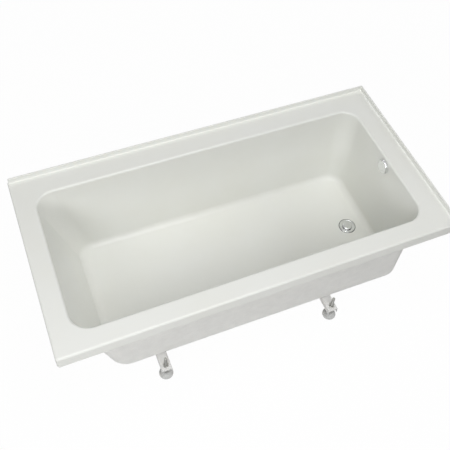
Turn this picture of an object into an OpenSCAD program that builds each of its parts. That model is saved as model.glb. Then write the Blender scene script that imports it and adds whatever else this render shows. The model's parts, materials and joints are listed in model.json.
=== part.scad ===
// Rectangular bathtub for the corner of a room: acrylic shell with a short skirt on its two open
// sides, a tiling flange on its two wall sides, a levelled cradle below and its waste and overflow.
// The origin is on the floor under the middle of the rim. +X runs to the drain end, +Y to the back
// wall, +Z up.

/* [Rim] */
// Length over the rim
tub_l = 1524; // [1440:1:1700]
// Width over the rim
tub_w = 762; // [730:1:860]
// Height of the flat rim above the floor
deck_h = 521; // [505:1:580]
// Flat ledge along the open front side
ledge_front = 76; // [70:1:90]
// Flat ledge along the open left side
ledge_left = 76; // [70:1:90]
// Ledge along the back wall, with the flange on it
ledge_back = 97; // [90:1:120]
// Ledge along the drain end wall, with the flange on it
ledge_right = 96; // [92:1:120]
// Drop of the skirt below the rim
skirt_drop = 53; // [35:1:80]
// Rounding of the rim's upper outer edge
edge_r = 8; // [6:0.5:12]
// Rounding of the skirt's upright corner, seen from above
skirt_corner_r = 10; // [9:0.5:20]

/* [Tiling flange] */
// Height of the flange above the rim
flange_up = 22; // [15:1:35]
// Thickness of the flange
flange_t = 6; // [4:0.5:8]
// Cove between the flange and the rim
flange_cove = 5; // [3:0.5:8]
// Rounding of the flange's two free ends
flange_end_r = 8; // [4:0.5:12]

/* [Basin] */
// Depth of the basin under the rim, at the drain
basin_depth = 425; // [380:1:435]
// Fall of the floor to the drain, in degrees
floor_fall = 1; // [0.4:0.1:1.3]
// Rounding where the ledge turns down into the basin
lip_r = 9; // [8.5:0.5:14]
// Corner rounding of the basin, seen from above
basin_corner_r = 70; // [60:1:110]
// Lean of the front and back walls, in degrees
side_draft = 1.5; // [1:0.1:4]
// Lean of the drain end wall, in degrees
drain_end_draft = 0.6; // [0.5:0.1:4]
// Lean of the backrest at the left end, in degrees
backrest_lean = 15.5; // [10:0.5:22]
// Rounding between the walls and the floor
foot_r = 26; // [20:1:36]
// Rounding between the backrest and the floor
backrest_foot_r = 42; // [36:1:60]

/* [Shell] */
// Thickness of the acrylic sheet
acrylic_t = 4; // [3:0.5:5]
// Thickness of the fibreglass laid up behind it
laminate_t = 4; // [3:0.5:5]

/* [Rim battens] */
// Width of the timber battens under the rim
batten_w = 38; // [30:1:44]
// Thickness of the timber battens
batten_t = 19; // [12:1:22]
// Space between a batten and the skirt or the rim's edge
batten_gap = 4; // [2:0.5:8]
// Length left free of battens behind the overflow
overflow_bay = 130; // [110:1:180]

/* [Base] */
// Thinnest part of the foam bed under the floor
foam_min = 5; // [3:0.5:10]
// Thickness of the base board
board_t = 16; // [12:1:19]
// Length of the base board
board_l = 900; // [800:1:960]
// Width of the base board
board_w = 420; // [380:1:450]
// Corner rounding of the base board
board_corner_r = 30; // [10:1:60]
// Distance from the drain's centre to the base board
board_to_drain = 150; // [110:1:180]

/* [Cradle] */
// Width of a cradle rail
rail_w = 40; // [36:1:50]
// Height of a cradle rail
rail_h = 28; // [22:1:32]
// Steel gauge of a cradle rail
rail_gauge = 2.5; // [2:0.5:3]
// Inset of each rail from the ends of the base board
rail_inset = 90; // [60:1:150]
// Distance from the basin's side, at the rim, out to each foot
foot_reach = 25.5; // [20:0.5:36]
// Length of rail past each foot
rail_tail = 20; // [18:1:24]
// Radius of a cradle screw's shank
screw_r = 2.5; // [2:0.25:3]
// Depth of a cradle screw in the base board
screw_bite = 12; // [8:1:14]
// Spacing of the screws along a rail
screw_pitch = 300; // [200:10:340]

/* [Levelling feet] */
// Radius of a threaded stud
stud_r = 6; // [5:0.5:6.5]
// Radius of a foot pad
pad_r = 28; // [22:1:32]
// Height of a foot pad
pad_h = 13; // [11:0.5:15]
// Rubber left under the stud in its pad
pad_sole = 5; // [3:0.5:6]
// Width of a foot nut across its flats
nut_flats = 19; // [17:0.5:20]
// Height of a foot nut
nut_h = 9; // [8:0.5:11]
// How far a foot can be wound down
foot_travel = 30; // [10:1:40]

/* [Drain] */
// Distance from the right end of the rim to the drain's centre
drain_from_end = 190; // [180:1:220]
// Radius of the drain flange
drain_r = 35; // [33:0.5:36]
// Radius of the drain flange's threaded barrel
barrel_r = 22.9; // [22.5:0.1:23.5]
// Radius of the drain's throat
throat_r = 19; // [18:0.25:19.5]
// Length of the barrel under the flange
barrel_l = 26; // [24:0.5:28]
// Radius of the recess round the drain
recess_r = 37.5; // [37:0.5:42]
// Depth of the recess round the drain
recess_d = 3; // [2:0.25:3.5]
// Thickness of the seal under the drain flange
flange_seal_t = 1.2; // [1:0.1:2]
// Thickness of the rubber washer on the drain shoe
shoe_washer_t = 4; // [3:0.5:5]
// Drop from the top of the drain shoe to the waste pipes' centre line
pipe_drop = 29; // [28:0.5:36]
// Outer radius of the waste and overflow tubes
tube_r = 19.05; // [18.5:0.05:19.3]
// Wall of the waste and overflow tubes
tube_wall = 1.2; // [1:0.1:2]
// Distance from the right end of the rim to the tee
tee_from_end = 50; // [48:1:53]

/* [Overflow] */
// Depth of the overflow's centre under the rim
overflow_depth = 42; // [42:1:60]
// Radius of the overflow cover
cover_r = 31; // [31:0.5:33]
// How far the overflow cover stands off the wall
cover_out = 13; // [10:0.5:14]
// Radius of the overflow's threaded neck
neck_r = 24; // [23:0.5:25]
// Thickness of the rubber gasket behind the wall
gasket_t = 5; // [4:0.5:7]

/* [Stopper] */
// Radius of the stopper's cap
cap_r = 21; // [20.5:0.25:22]
// Height of the stopper's cap
cap_h = 5; // [4:0.25:6]
// Radius of the stopper's fixed post
post_r = 5.5; // [5:0.25:6]

/* [Hidden] */

$fn = 48;

// Clearances
seat_gap = 0.3;
turn_gap = 0.08;
thread_gap = 0.1;

// Overlap that makes a cut or a join pass its neighbour's face
over = 1;

// The rim in plan
rim_x0 = -tub_l / 2;
rim_x1 = tub_l / 2;
rim_y0 = -tub_w / 2;
rim_y1 = tub_w / 2;
skirt_z = deck_h - skirt_drop;
wall_setback = 0.5;
edge_steps = 5;
flange_inset = 4;
cove_dip = 0.06;

// The basin's four wall planes where they meet the rim's plane
basin_x0 = rim_x0 + ledge_left;
basin_x1 = rim_x1 - ledge_right;
basin_y0 = rim_y0 + ledge_front;
basin_y1 = rim_y1 - ledge_back;
mid_y = (basin_y0 + basin_y1) / 2;

// Points in each quarter of a ring, and stations in the lip and in the foot
corner_steps = 8;
lip_steps = 5;
foot_steps = 8;
wall_t = acrylic_t + laminate_t;

// The drain
drain_x = rim_x1 - drain_from_end;
floor_z = deck_h - basin_depth;
seat_z = floor_z - recess_d;
pad_boss_r = recess_r + 6;
drain_hole_r = barrel_r + 1.1;
washer_z1 = seat_z - wall_t;
shoe_top_z = washer_z1 - shoe_washer_t;
drain_top_z = seat_z + flange_seal_t;
barrel_end_z = drain_top_z - barrel_l;
drain_rise = 2.6;
drain_lip = 1.2;
dish_z = 1.4;
fixed_ring_r = drain_r - 1;

// Battens, inside the skirt
batten_x0 = rim_x0 + wall_t + batten_gap;
batten_x1 = rim_x1 - wall_setback - wall_t - batten_gap;
batten_y0 = rim_y0 + wall_t + batten_gap;
batten_y1 = rim_y1 - wall_setback - wall_t - batten_gap;

// Foam, board and rails
board_x1 = drain_x - board_to_drain;
board_x0 = board_x1 - board_l;
foam_lap = 12;
board_top_z = under_z(board_x1 + foam_lap) - foam_min;
board_bottom_z = board_top_z - board_t;
rail_bottom_z = board_bottom_z - rail_h;
rail_xs = [board_x0 + rail_inset, board_x1 - rail_inset];
rail_web_z = board_bottom_z - rail_gauge;
foot_y = (basin_y1 - basin_y0) / 2 + foot_reach;
rail_half = foot_y + rail_tail;
stud_spare = 26;
stud_l = board_bottom_z + nut_h + foot_travel + stud_spare - pad_sole;
stud_hole_r = stud_r + 0.5;
screw_head_r = screw_r * 2;
screw_head_h = 2.4;

// Waste pipework
pipe_z = shoe_top_z - pipe_drop;
shoe_wall = 4;
shoe_bore_r = barrel_r + thread_gap;
shoe_r = shoe_bore_r + shoe_wall;
shoe_flange_t = 4;
pipe_bore_r = 17;
socket_r = tube_r + thread_gap;
branch_r = socket_r + 3.4;
shoe_outlet = 46;
shoe_socket = 20;
tee_x = rim_x1 - tee_from_end;
tee_side = 48;
tee_up = 45;
tee_socket = 19;
nut_thread = 14;
nut_room = 3.45;
tee_down = branch_r + nut_room + nut_thread;
nut_nose = 8;
nut_lip_t = 3;
nut_lip_r = tube_r + 0.6;
nut_bore_r = branch_r + thread_gap;
nut_r = nut_bore_r + 3.6;
nut_lug = 2.6;
washer_r = nut_bore_r - 0.3;
washer_l = nut_nose - nut_lip_t;

// Overflow
overflow_z = deck_h - overflow_depth;
wall_hole_r = neck_r + 1.5;
elbow_back = 26;
elbow_bore_r = neck_r - 4;
elbow_flange_r = cover_r;
elbow_flange_t = 4;
ring_r = cover_r - 3;
ring_t = 6;
cover_wall = 1.6;
cover_round = cover_out / 2;
head_z0 = overflow_z - cover_r;
head_z1 = overflow_z + cover_r;
head_in_x = wall_x(head_z0, 0) - seat_gap;
gasket_x1 = wall_x(head_z1, wall_t) + gasket_t;
neck_end_x = head_in_x - ring_t - over;
elbow_leg = 42;
elbow_bottom_z = overflow_z - elbow_leg;
elbow_socket = 19;
elbow_wall = 3;

// Stopper
stem_r = post_r + 2.5;
stem_bore_r = post_r + turn_gap;
spider_z0 = -barrel_l + 1.5;
spider_z1 = spider_z0 + 5;
spider_r = 8;
spider_w = 3;
post_thread_r = 4.2;
stem_z0 = spider_z1 + 2;
cap_z = drain_rise + 0.8;
post_top = cap_z - over;
seal_r = throat_r + 1.6;

// How much deeper than at the drain the basin is at x, as a share of its depth there; the height
// of a point at depth d of the surface pushed out by t; and the height of the floor's underside
function fall(x) = 1 - tan(floor_fall) * (drain_x - x) / basin_depth;
function depth_z(d, t, x) = deck_h - t - (d - t) * fall(x);
function under_z(x) = depth_z(basin_depth + wall_t, wall_t, x);

// A basin surface is the inside surface pushed out by t.
// Distance of a wall's surface from its plane's line on the rim, at depth d
function wall_in(d, lean, fr, t) =
    let (lip = lip_r - t, foot = fr + t)
    let (lip_c = lip_r * tan(lean) - lip_r / cos(lean))
    let (foot_d = basin_depth - fr)
    let (foot_c = foot_d * tan(lean) + fr / cos(lean))
    d < lip_r - lip * sin(lean) ? lip_c + sqrt(max(0, lip * lip - pow(lip_r - d, 2)))
    : d > foot_d + foot * sin(lean) ? foot_c - sqrt(max(0, foot * foot - pow(d - foot_d, 2)))
    : d * tan(lean) - t / cos(lean);

// Where the drain end wall stands at height z
function wall_x(z, t) = basin_x1 - wall_in(deck_h - z, drain_end_draft, foot_r, t);

// How much a ring's corner tightens where the wall turns into the floor
function foot_tuck(d, t) = wall_in(d, side_draft, foot_r, t) - (d * tan(side_draft) - t / cos(side_draft));

// Depths of the rings, from the rim's underside t down to the floor t
function ring_depths(t) = concat(
    [for (i = [0:lip_steps]) lip_r - (lip_r - t) * cos(90 * i / lip_steps)],
    [for (i = [0:foot_steps])
        basin_depth - backrest_foot_r + (backrest_foot_r + t) * sin(90 * i / foot_steps)]);

// Rounded rectangle, counter-clockwise from its back right corner; r holds its four radii
function ring(x0, x1, y0, y1, r) = [
    for (c = [0:3])
        let (cx = (c == 0 || c == 3) ? x1 - r[c] : x0 + r[c])
        let (cy = (c < 2) ? y1 - r[c] : y0 + r[c])
        for (i = [0:corner_steps])
            let (a = 90 * (c + i / corner_steps))
            [cx + r[c] * cos(a), cy + r[c] * sin(a)]];

function basin_ring(d, t) =
    let (r = max(foot_r / 2, basin_corner_r - foot_tuck(d, t)))
    let (side = wall_in(d, side_draft, foot_r, t))
    ring(basin_x0 + wall_in(d, backrest_lean, backrest_foot_r, t),
         basin_x1 - wall_in(d, drain_end_draft, foot_r, t),
         basin_y0 + side, basin_y1 - side, [r, r, r, r]);

// Surface through a stack of closed rings of equal length, closed at both ends.
// From ring `turn` on, each four-sided face is split along its other diagonal.
module loft(rings, turn = 1000) {
    n = len(rings[0]);
    last = len(rings) - 1;
    points = [for (one = rings) for (p = one) p];
    walls = [
        for (k = [0:last - 1])
            for (i = [0:n - 1])
                let (a = k * n + i, b = k * n + (i + 1) % n)
                each k < turn ? [[a, b + n, b], [a, a + n, b + n]] : [[a, a + n, b], [a + n, b + n, b]]];
    polyhedron(
        points = points,
        faces = concat(walls, [[for (i = [0:n - 1]) i]], [[for (i = [0:n - 1]) last * n + (n - i) % n]]),
        convexity = 6);
}

// The basin's inside surface pushed out by t, from its floor up to the rim
function basin_rings(t) =
    let (depths = ring_depths(t))
    [for (i = [len(depths) - 1:-1:0])
        [for (p = basin_ring(depths[i], t)) [p[0], p[1], depth_z(depths[i], t, p[0])]]];

// The rim's outside surface pushed in by t, from the rim's edge down to the skirt's foot.
// The edge is rounded on the two open sides only.
function rim_rings(t) =
    let (r = max(0.5, edge_r - t))
    let (arc = [for (i = [0:edge_steps]) 90 - 90 * i / edge_steps])
    let (rows = concat([for (a = arc) [r * (1 - cos(a)), deck_h - t - r * (1 - sin(a))]], [[0, skirt_z]]))
    [for (row = rows)
        let (inset = t + row[0])
        let (corner = max(1, skirt_corner_r - inset))
        [for (p = ring(rim_x0 + inset, rim_x1 - wall_setback - t, rim_y0 + inset, rim_y1 - wall_setback - t,
                       [1, 1, corner, 1]))
            [p[0], p[1], row[1]]]];

function reversed(list) = [for (i = [len(list) - 1:-1:0]) list[i]];

// Moulded skin between the surface pushed by t0 and the one pushed by t1, skirt and basin in one.
// Its two sides split their faces alike, so that one skin lies exactly against the next.
module skin(t0, t1) {
    far = concat(basin_rings(t1), rim_rings(t1));
    near = concat(basin_rings(t0), rim_rings(t0));
    loft(concat(far, reversed(near)), len(far));
}

// Section of the tiling flange as [distance in from its outer face, height over the rim]
function flange_section() =
    let (top_r = flange_t / 3)
    concat(
        [[0, -acrylic_t / 2]],
        [for (a = [0:30:90]) [top_r * (1 - cos(a)), flange_up - top_r * (1 - sin(a))]],
        [for (a = [0:30:90]) [flange_t - top_r * (1 - sin(a)), flange_up - top_r * (1 - cos(a))]],
        [for (a = [180:15:270])
            [flange_t + flange_cove * (1 + cos(a)), flange_cove * (1 + sin(a)) - cove_dip * flange_cove]],
        [[flange_t + flange_cove, -acrylic_t / 2]]);

// Share of the flange's height at a distance from its free end, which is rounded
function end_share(d) = 1 - flange_end_r / flange_up * (1 - sqrt(max(0, 1 - pow(1 - d / flange_end_r, 2))));

// Flange along the back wall, round the corner and along the drain end wall
module tiling_flange() {
    steps = [0.02, 0.15, 0.5, 1];
    start = [for (s = steps) s * flange_end_r];
    lift = function (v, d) v > 0 ? v * end_share(d) : v;
    loft(concat(
        [for (d = start)
            [for (p = flange_section()) [rim_x0 + flange_inset + d, rim_y1 - p[0], deck_h + lift(p[1], d)]]],
        [[for (p = flange_section()) [rim_x1 - p[0], rim_y1 - p[0], deck_h + p[1]]]],
        [for (d = reversed(start))
            [for (p = flange_section()) [rim_x1 - p[0], rim_y0 + flange_inset + d, deck_h + lift(p[1], d)]]]));
}

// Bores of the drain and the overflow through the shell and its backing
module waste_holes() {
    translate([drain_x, mid_y, seat_z - wall_t - 2 * over])
        cylinder(r = drain_hole_r, h = wall_t + recess_d + 4 * over);
    translate([wall_x(overflow_z, 0) - 3 * over, mid_y, overflow_z])
        rotate([0, 90, 0])
            cylinder(r = wall_hole_r, h = wall_t + 6 * over);
}

// Thickened seat under the drain, t below the recess
module drain_seat(t, r) {
    translate([drain_x, mid_y, seat_z - t])
        cylinder(r = r, h = recess_d + acrylic_t / 2);
}

module tub_shell() {
    color("ivory")
        difference() {
            union() {
                skin(0, acrylic_t);
                tiling_flange();
                drain_seat(acrylic_t, pad_boss_r);
            }
            translate([drain_x, mid_y, seat_z])
                cylinder(r = recess_r, h = 2 * recess_d + over);
            waste_holes();
        }
}

module fibreglass_backing() {
    color("khaki")
        difference() {
            union() {
                skin(acrylic_t, wall_t);
                drain_seat(wall_t, pad_boss_r + laminate_t);
            }
            translate([drain_x, mid_y, seat_z - acrylic_t])
                cylinder(r = pad_boss_r, h = 2 * acrylic_t);
            waste_holes();
        }
}

// Flat plate with rounded corners
module rounded_plate(x0, x1, y0, y1, r, height) {
    linear_extrude(height = height)
        polygon(ring(x0, x1, y0, y1, [r, r, r, r]));
}

module floor_foam_bed() {
    x0 = board_x0 - foam_lap;
    x1 = board_x1 + foam_lap;
    width = board_w + 2 * foam_lap;
    color("lightyellow")
        translate([0, mid_y + width / 2, 0])
            rotate([90, 0, 0])
                linear_extrude(height = width)
                    polygon([
                        [x0, board_top_z], [x1, board_top_z], [x1, under_z(x1)], [x0, under_z(x0)]]);
}

module base_board() {
    color("burlywood")
        difference() {
            translate([0, 0, board_bottom_z])
                rounded_plate(board_x0, board_x1, mid_y - board_w / 2, mid_y + board_w / 2,
                              board_corner_r, board_t);
            at_screws()
                translate([0, 0, board_bottom_z - over])
                    cylinder(r = screw_r + thread_gap, h = screw_bite + over);
        }
}

// Runs its child at each cradle screw
module at_screws() {
    for (x = rail_xs)
        for (side = [-1, 1])
            for (row = [-1, 1])
                translate([x + row * rail_w / 4, mid_y + side * screw_pitch / 2, 0])
                    children();
}

// Runs its child at each foot of one rail
module at_feet(x) {
    for (side = [-1, 1])
        translate([x, mid_y + side * foot_y, 0])
            children();
}

module batten(x0, x1, y0, y1) {
    color("tan")
        translate([x0, y0, deck_h - wall_t - batten_t])
            cube([x1 - x0, y1 - y0, batten_t]);
}

module batten_front() batten(batten_x0, batten_x1, batten_y0, batten_y0 + batten_w);
module batten_back() batten(batten_x0, batten_x1, batten_y1 - batten_w, batten_y1);
module batten_left() batten(batten_x0, batten_x0 + batten_w, batten_y0 + batten_w, batten_y1 - batten_w);
module batten_right_front()
    batten(batten_x1 - batten_w, batten_x1, batten_y0 + batten_w, mid_y - overflow_bay / 2);
module batten_right_back()
    batten(batten_x1 - batten_w, batten_x1, mid_y + overflow_bay / 2, batten_y1 - batten_w);

// Channel with its open side down
module cradle_rail(x) {
    w = rail_w / 2;
    color("silver")
        difference() {
            translate([x, mid_y + rail_half, board_bottom_z])
                rotate([90, 0, 0])
                    linear_extrude(height = 2 * rail_half)
                        polygon([
                            [-w, -rail_h], [-w + rail_gauge, -rail_h], [-w + rail_gauge, -rail_gauge],
                            [w - rail_gauge, -rail_gauge], [w - rail_gauge, -rail_h], [w, -rail_h],
                            [w, 0], [-w, 0]]);
            at_feet(x)
                translate([0, 0, rail_web_z - over])
                    cylinder(r = stud_hole_r, h = rail_gauge + 2 * over);
            at_screws()
                translate([0, 0, rail_web_z - over])
                    cylinder(r = screw_r + thread_gap, h = rail_gauge + 2 * over);
        }
}

module cradle_rail_left() cradle_rail(rail_xs[0]);
module cradle_rail_right() cradle_rail(rail_xs[1]);

module cradle_screws() {
    color("gainsboro")
        at_screws() {
            translate([0, 0, rail_web_z])
                cylinder(r = screw_r, h = rail_gauge + screw_bite - over);
            translate([0, 0, rail_web_z - screw_head_h])
                cylinder(r1 = screw_head_r * 0.8, r2 = screw_head_r, h = screw_head_h);
        }
}

module hex_nut() {
    difference() {
        cylinder(r = nut_flats / sqrt(3), h = nut_h, $fn = 6);
        translate([0, 0, -over])
            cylinder(r = stud_r + turn_gap, h = nut_h + 2 * over, $fn = 48);
    }
}

module foot_nuts() {
    color("darkgray")
        for (x = rail_xs)
            at_feet(x) {
                translate([0, 0, board_bottom_z])
                    hex_nut();
                translate([0, 0, rail_web_z - nut_h])
                    hex_nut();
            }
}

// Threaded stud standing in its pad
module stud(x, side) {
    color("lightgray")
        translate([x, mid_y + side * foot_y, pad_sole])
            cylinder(r = stud_r, h = stud_l);
}

module pad(x, side) {
    foot = 2;
    color("dimgray")
        translate([x, mid_y + side * foot_y, 0])
            rotate_extrude()
                polygon([
                    [0, 0], [pad_r - foot, 0], [pad_r, foot], [pad_r, pad_h / 2], [stud_r + 6, pad_h],
                    [stud_r + thread_gap, pad_h], [stud_r + thread_gap, pad_sole], [0, pad_sole]]);
}

module stud_front_left() stud(rail_xs[0], -1);
module stud_back_left() stud(rail_xs[0], 1);
module stud_front_right() stud(rail_xs[1], -1);
module stud_back_right() stud(rail_xs[1], 1);
module pad_front_left() pad(rail_xs[0], -1);
module pad_back_left() pad(rail_xs[0], 1);
module pad_front_right() pad(rail_xs[1], -1);
module pad_back_right() pad(rail_xs[1], 1);

// Moves its child to the drain, with z = 0 on the underside of the drain flange
module at_drain() {
    translate([drain_x, mid_y, drain_top_z])
        children();
}

// Chrome flange and barrel with a cross at its foot that holds the stopper's post
module drain_flange() {
    color("whitesmoke")
        at_drain() {
            rotate_extrude()
                polygon([
                    [throat_r, -barrel_l], [barrel_r, -barrel_l], [barrel_r, 0], [drain_r, 0],
                    [drain_r, drain_lip], [drain_r - 1.5, drain_rise], [drain_r - 4, drain_rise],
                    [throat_r + 3, dish_z], [throat_r, -over]]);
            difference() {
                intersection() {
                    translate([0, 0, spider_z0])
                        cylinder(r = throat_r + over / 2, h = spider_z1 - spider_z0);
                    union() {
                        for (a = [0, 90])
                            rotate([0, 0, a])
                                translate([-barrel_r, -spider_w / 2, spider_z0])
                                    cube([2 * barrel_r, spider_w, spider_z1 - spider_z0]);
                        translate([0, 0, spider_z0])
                            cylinder(r = spider_r, h = spider_z1 - spider_z0);
                    }
                }
                translate([0, 0, spider_z0 - over])
                    cylinder(r = post_thread_r + thread_gap, h = spider_z1 - spider_z0 + 2 * over);
            }
        }
}

module flat_ring(r0, r1, height) {
    difference() {
        cylinder(r = r1, h = height);
        translate([0, 0, -over])
            cylinder(r = r0, h = height + 2 * over);
    }
}

module drain_flange_seal() {
    color("gray")
        translate([drain_x, mid_y, seat_z])
            flat_ring(drain_hole_r, recess_r - seat_gap, flange_seal_t);
}

module drain_shoe_washer() {
    color("black")
        translate([drain_x, mid_y, shoe_top_z])
            flat_ring(shoe_bore_r + seat_gap, fixed_ring_r, shoe_washer_t);
}

module drain_shoe() {
    foot_z = pipe_z - pipe_bore_r - shoe_wall;
    color("darkslategray")
        difference() {
            union() {
                translate([drain_x, mid_y, shoe_top_z - shoe_flange_t])
                    cylinder(r = fixed_ring_r, h = shoe_flange_t);
                translate([drain_x, mid_y, foot_z])
                    cylinder(r = shoe_r, h = shoe_top_z - foot_z - shoe_flange_t / 2);
                translate([drain_x, mid_y, pipe_z])
                    rotate([0, 90, 0])
                        cylinder(r = branch_r, h = shoe_outlet);
            }
            translate([drain_x, mid_y, barrel_end_z - over])
                cylinder(r = shoe_bore_r, h = barrel_l);
            translate([drain_x, mid_y, pipe_z - pipe_bore_r])
                cylinder(r = throat_r, h = pipe_bore_r + barrel_l);
            translate([drain_x, mid_y, pipe_z])
                rotate([0, 90, 0])
                    cylinder(r = pipe_bore_r, h = shoe_outlet + over);
            translate([drain_x + shoe_outlet - shoe_socket, mid_y, pipe_z])
                rotate([0, 90, 0])
                    cylinder(r = socket_r, h = shoe_socket + over);
        }
}

// Straight tube along +Z
module tube(length) {
    difference() {
        cylinder(r = tube_r, h = length);
        translate([0, 0, -over])
            cylinder(r = tube_r - tube_wall, h = length + 2 * over);
    }
}

module shoe_tube() {
    x0 = drain_x + shoe_outlet - shoe_socket;
    x1 = tee_x - tee_side + tee_socket;
    color("gold")
        translate([x0, mid_y, pipe_z])
            rotate([0, 90, 0])
                tube(x1 - x0);
}

module overflow_tube() {
    z0 = pipe_z + tee_up - tee_socket;
    z1 = elbow_bottom_z + elbow_socket;
    color("gold")
        translate([tee_x, mid_y, z0])
            tube(z1 - z0);
}

// Moves its child to an end of the tee, with +Z out of that end
module at_tee_side() {
    translate([tee_x - tee_side, mid_y, pipe_z])
        rotate([0, -90, 0])
            children();
}

module at_tee_top() {
    translate([tee_x, mid_y, pipe_z + tee_up])
        children();
}

module at_tee_bottom() {
    translate([tee_x, mid_y, pipe_z - tee_down])
        rotate([180, 0, 0])
            children();
}

// Solid and bore of one branch, from the tee's end back to its middle
module branch(r, length) {
    translate([0, 0, -length])
        cylinder(r = r, h = length);
}

module branch_bores(length) {
    translate([0, 0, -length])
        cylinder(r = pipe_bore_r, h = length + over);
    translate([0, 0, -tee_socket])
        cylinder(r = socket_r, h = tee_socket + over);
}

module waste_tee() {
    color("darkslategray")
        difference() {
            union() {
                at_tee_side() branch(branch_r, tee_side);
                at_tee_top() branch(branch_r, tee_up);
                at_tee_bottom() branch(branch_r, tee_down);
            }
            at_tee_side() branch_bores(tee_side);
            at_tee_top() branch_bores(tee_up);
            at_tee_bottom() branch_bores(tee_down);
        }
}

// Ribbed union nut over a branch's end, which is at z = 0
module slip_nut() {
    ribs = 8;
    difference() {
        union() {
            translate([0, 0, -nut_thread])
                cylinder(r = nut_r, h = nut_thread + nut_nose);
            for (i = [0:ribs - 1])
                rotate([0, 0, 360 * i / ribs])
                    translate([nut_r - over, -nut_lug / 2, -nut_thread])
                        cube([nut_lug + over, nut_lug, nut_thread]);
        }
        translate([0, 0, -nut_thread - over])
            cylinder(r = nut_bore_r, h = nut_thread + over + washer_l);
        translate([0, 0, -over])
            cylinder(r = nut_lip_r, h = nut_nose + 2 * over);
    }
}

module slip_nut_side() color("darkslategray") at_tee_side() slip_nut();
module slip_nut_top() color("darkslategray") at_tee_top() slip_nut();
module slip_nut_bottom() color("darkslategray") at_tee_bottom() slip_nut();

module slip_washer() {
    rotate_extrude()
        polygon([
            [socket_r, 0], [washer_r, 0], [washer_r, washer_l - 2], [nut_lip_r + 1, washer_l],
            [socket_r, washer_l]]);
}

module slip_washers() {
    color("white") {
        at_tee_side() slip_washer();
        at_tee_top() slip_washer();
        at_tee_bottom() slip_washer();
    }
}

// Moves its child to the overflow's axis, with +Z pointing along +X from x
module at_overflow(x) {
    translate([x, mid_y, overflow_z])
        rotate([0, 90, 0])
            children();
}

module overflow_elbow() {
    color("darkslategray")
        difference() {
            union() {
                at_overflow(gasket_x1)
                    cylinder(r = elbow_flange_r, h = elbow_flange_t);
                at_overflow(neck_end_x)
                    cylinder(r = neck_r, h = tee_x + elbow_back - neck_end_x);
                translate([tee_x, mid_y, elbow_bottom_z])
                    cylinder(r = branch_r, h = overflow_z - elbow_bottom_z);
            }
            at_overflow(neck_end_x - over)
                cylinder(r = elbow_bore_r, h = tee_x + elbow_back - elbow_wall - neck_end_x + over);
            translate([tee_x, mid_y, elbow_bottom_z - over])
                cylinder(r = pipe_bore_r, h = overflow_z - elbow_bottom_z + over);
            translate([tee_x, mid_y, elbow_bottom_z - over])
                cylinder(r = socket_r, h = elbow_socket + over);
        }
}

// Rubber ring that fills the wedge between the leaning wall and the upright elbow
module overflow_gasket() {
    slab = 4 * cover_r;
    color("black")
        difference() {
            at_overflow(gasket_x1 - 2 * gasket_t - over)
                flat_ring(neck_r + seat_gap, cover_r - over, 2 * gasket_t + over);
            translate([wall_x(overflow_z, wall_t) + seat_gap, mid_y, overflow_z])
                rotate([0, drain_end_draft, 0])
                    translate([-slab, -slab / 2, -slab / 2])
                        cube([slab, slab, slab]);
        }
}

module overflow_ring_nut() {
    notches = 4;
    notch_w = 4;
    color("dimgray")
        difference() {
            at_overflow(head_in_x - ring_t)
                flat_ring(neck_r + thread_gap, ring_r, ring_t);
            for (i = [0:notches - 1])
                at_overflow(head_in_x - ring_t - over)
                    rotate([0, 0, 360 / notches * (i + 0.5)])
                        translate([ring_r - notch_w / 2, -notch_w / 2, 0])
                            cube([notch_w, notch_w, ring_t / 2 + over]);
        }
}

// Round chrome cap over the ring nut, with a water inlet in the lower part of its side
module overflow_cover() {
    inlet_w = cover_r;
    inlet_h = cover_out / 2;
    deep = cover_out - seat_gap;
    color("whitesmoke")
        difference() {
            at_overflow(head_in_x)
                mirror([0, 0, 1])
                    rotate_extrude()
                        polygon(concat(
                            [[ring_r + seat_gap, 0], [cover_r, 0]],
                            [for (a = [0:15:90])
                                [cover_r - cover_round + cover_round * cos(a),
                                 deep - cover_round + cover_round * sin(a)]],
                            [[0, deep], [0, deep - cover_wall],
                             [cover_r - cover_round, deep - cover_wall],
                             [ring_r + seat_gap, ring_t + 2 * seat_gap]]));
            translate([head_in_x - inlet_h, mid_y - inlet_w / 2, overflow_z - cover_r - over])
                cube([inlet_h + over, inlet_w, cover_r / 2]);
        }
}

module stopper_post() {
    thread_end = 2;
    color("silver")
        at_drain() {
            translate([0, 0, spider_z0 - thread_end])
                cylinder(r = post_thread_r, h = thread_end + spider_z1 - spider_z0 + over);
            translate([0, 0, spider_z1])
                cylinder(r = post_r, h = post_top - spider_z1);
        }
}

module stopper_stem() {
    color("silver")
        at_drain()
            translate([0, 0, stem_z0])
                flat_ring(stem_bore_r, stem_r, cap_z - stem_z0);
}

module stopper_cap() {
    color("whitesmoke")
        at_drain()
            translate([0, 0, cap_z])
                rotate_extrude()
                    polygon([
                        [0, 0], [cap_r - 1, 0], [cap_r, 1], [cap_r, cap_h - 2.4], [cap_r - 1, cap_h - 1.1],
                        [cap_r - 3, cap_h - 0.5], [cap_r / 2, cap_h - 0.1], [0, cap_h]]);
}

// Rubber ring under the cap, clear of the flange's dish by the seat gap when shut
module stopper_seal() {
    color("black")
        at_drain()
            rotate_extrude()
                polygon([
                    [stem_r + turn_gap, cap_z - 2.4], [throat_r - 1.2, cap_z - 2.4],
                    [throat_r + 1.4, dish_z + seat_gap + 0.4], [seal_r, cap_z], [stem_r + turn_gap, cap_z]]);
}

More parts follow.
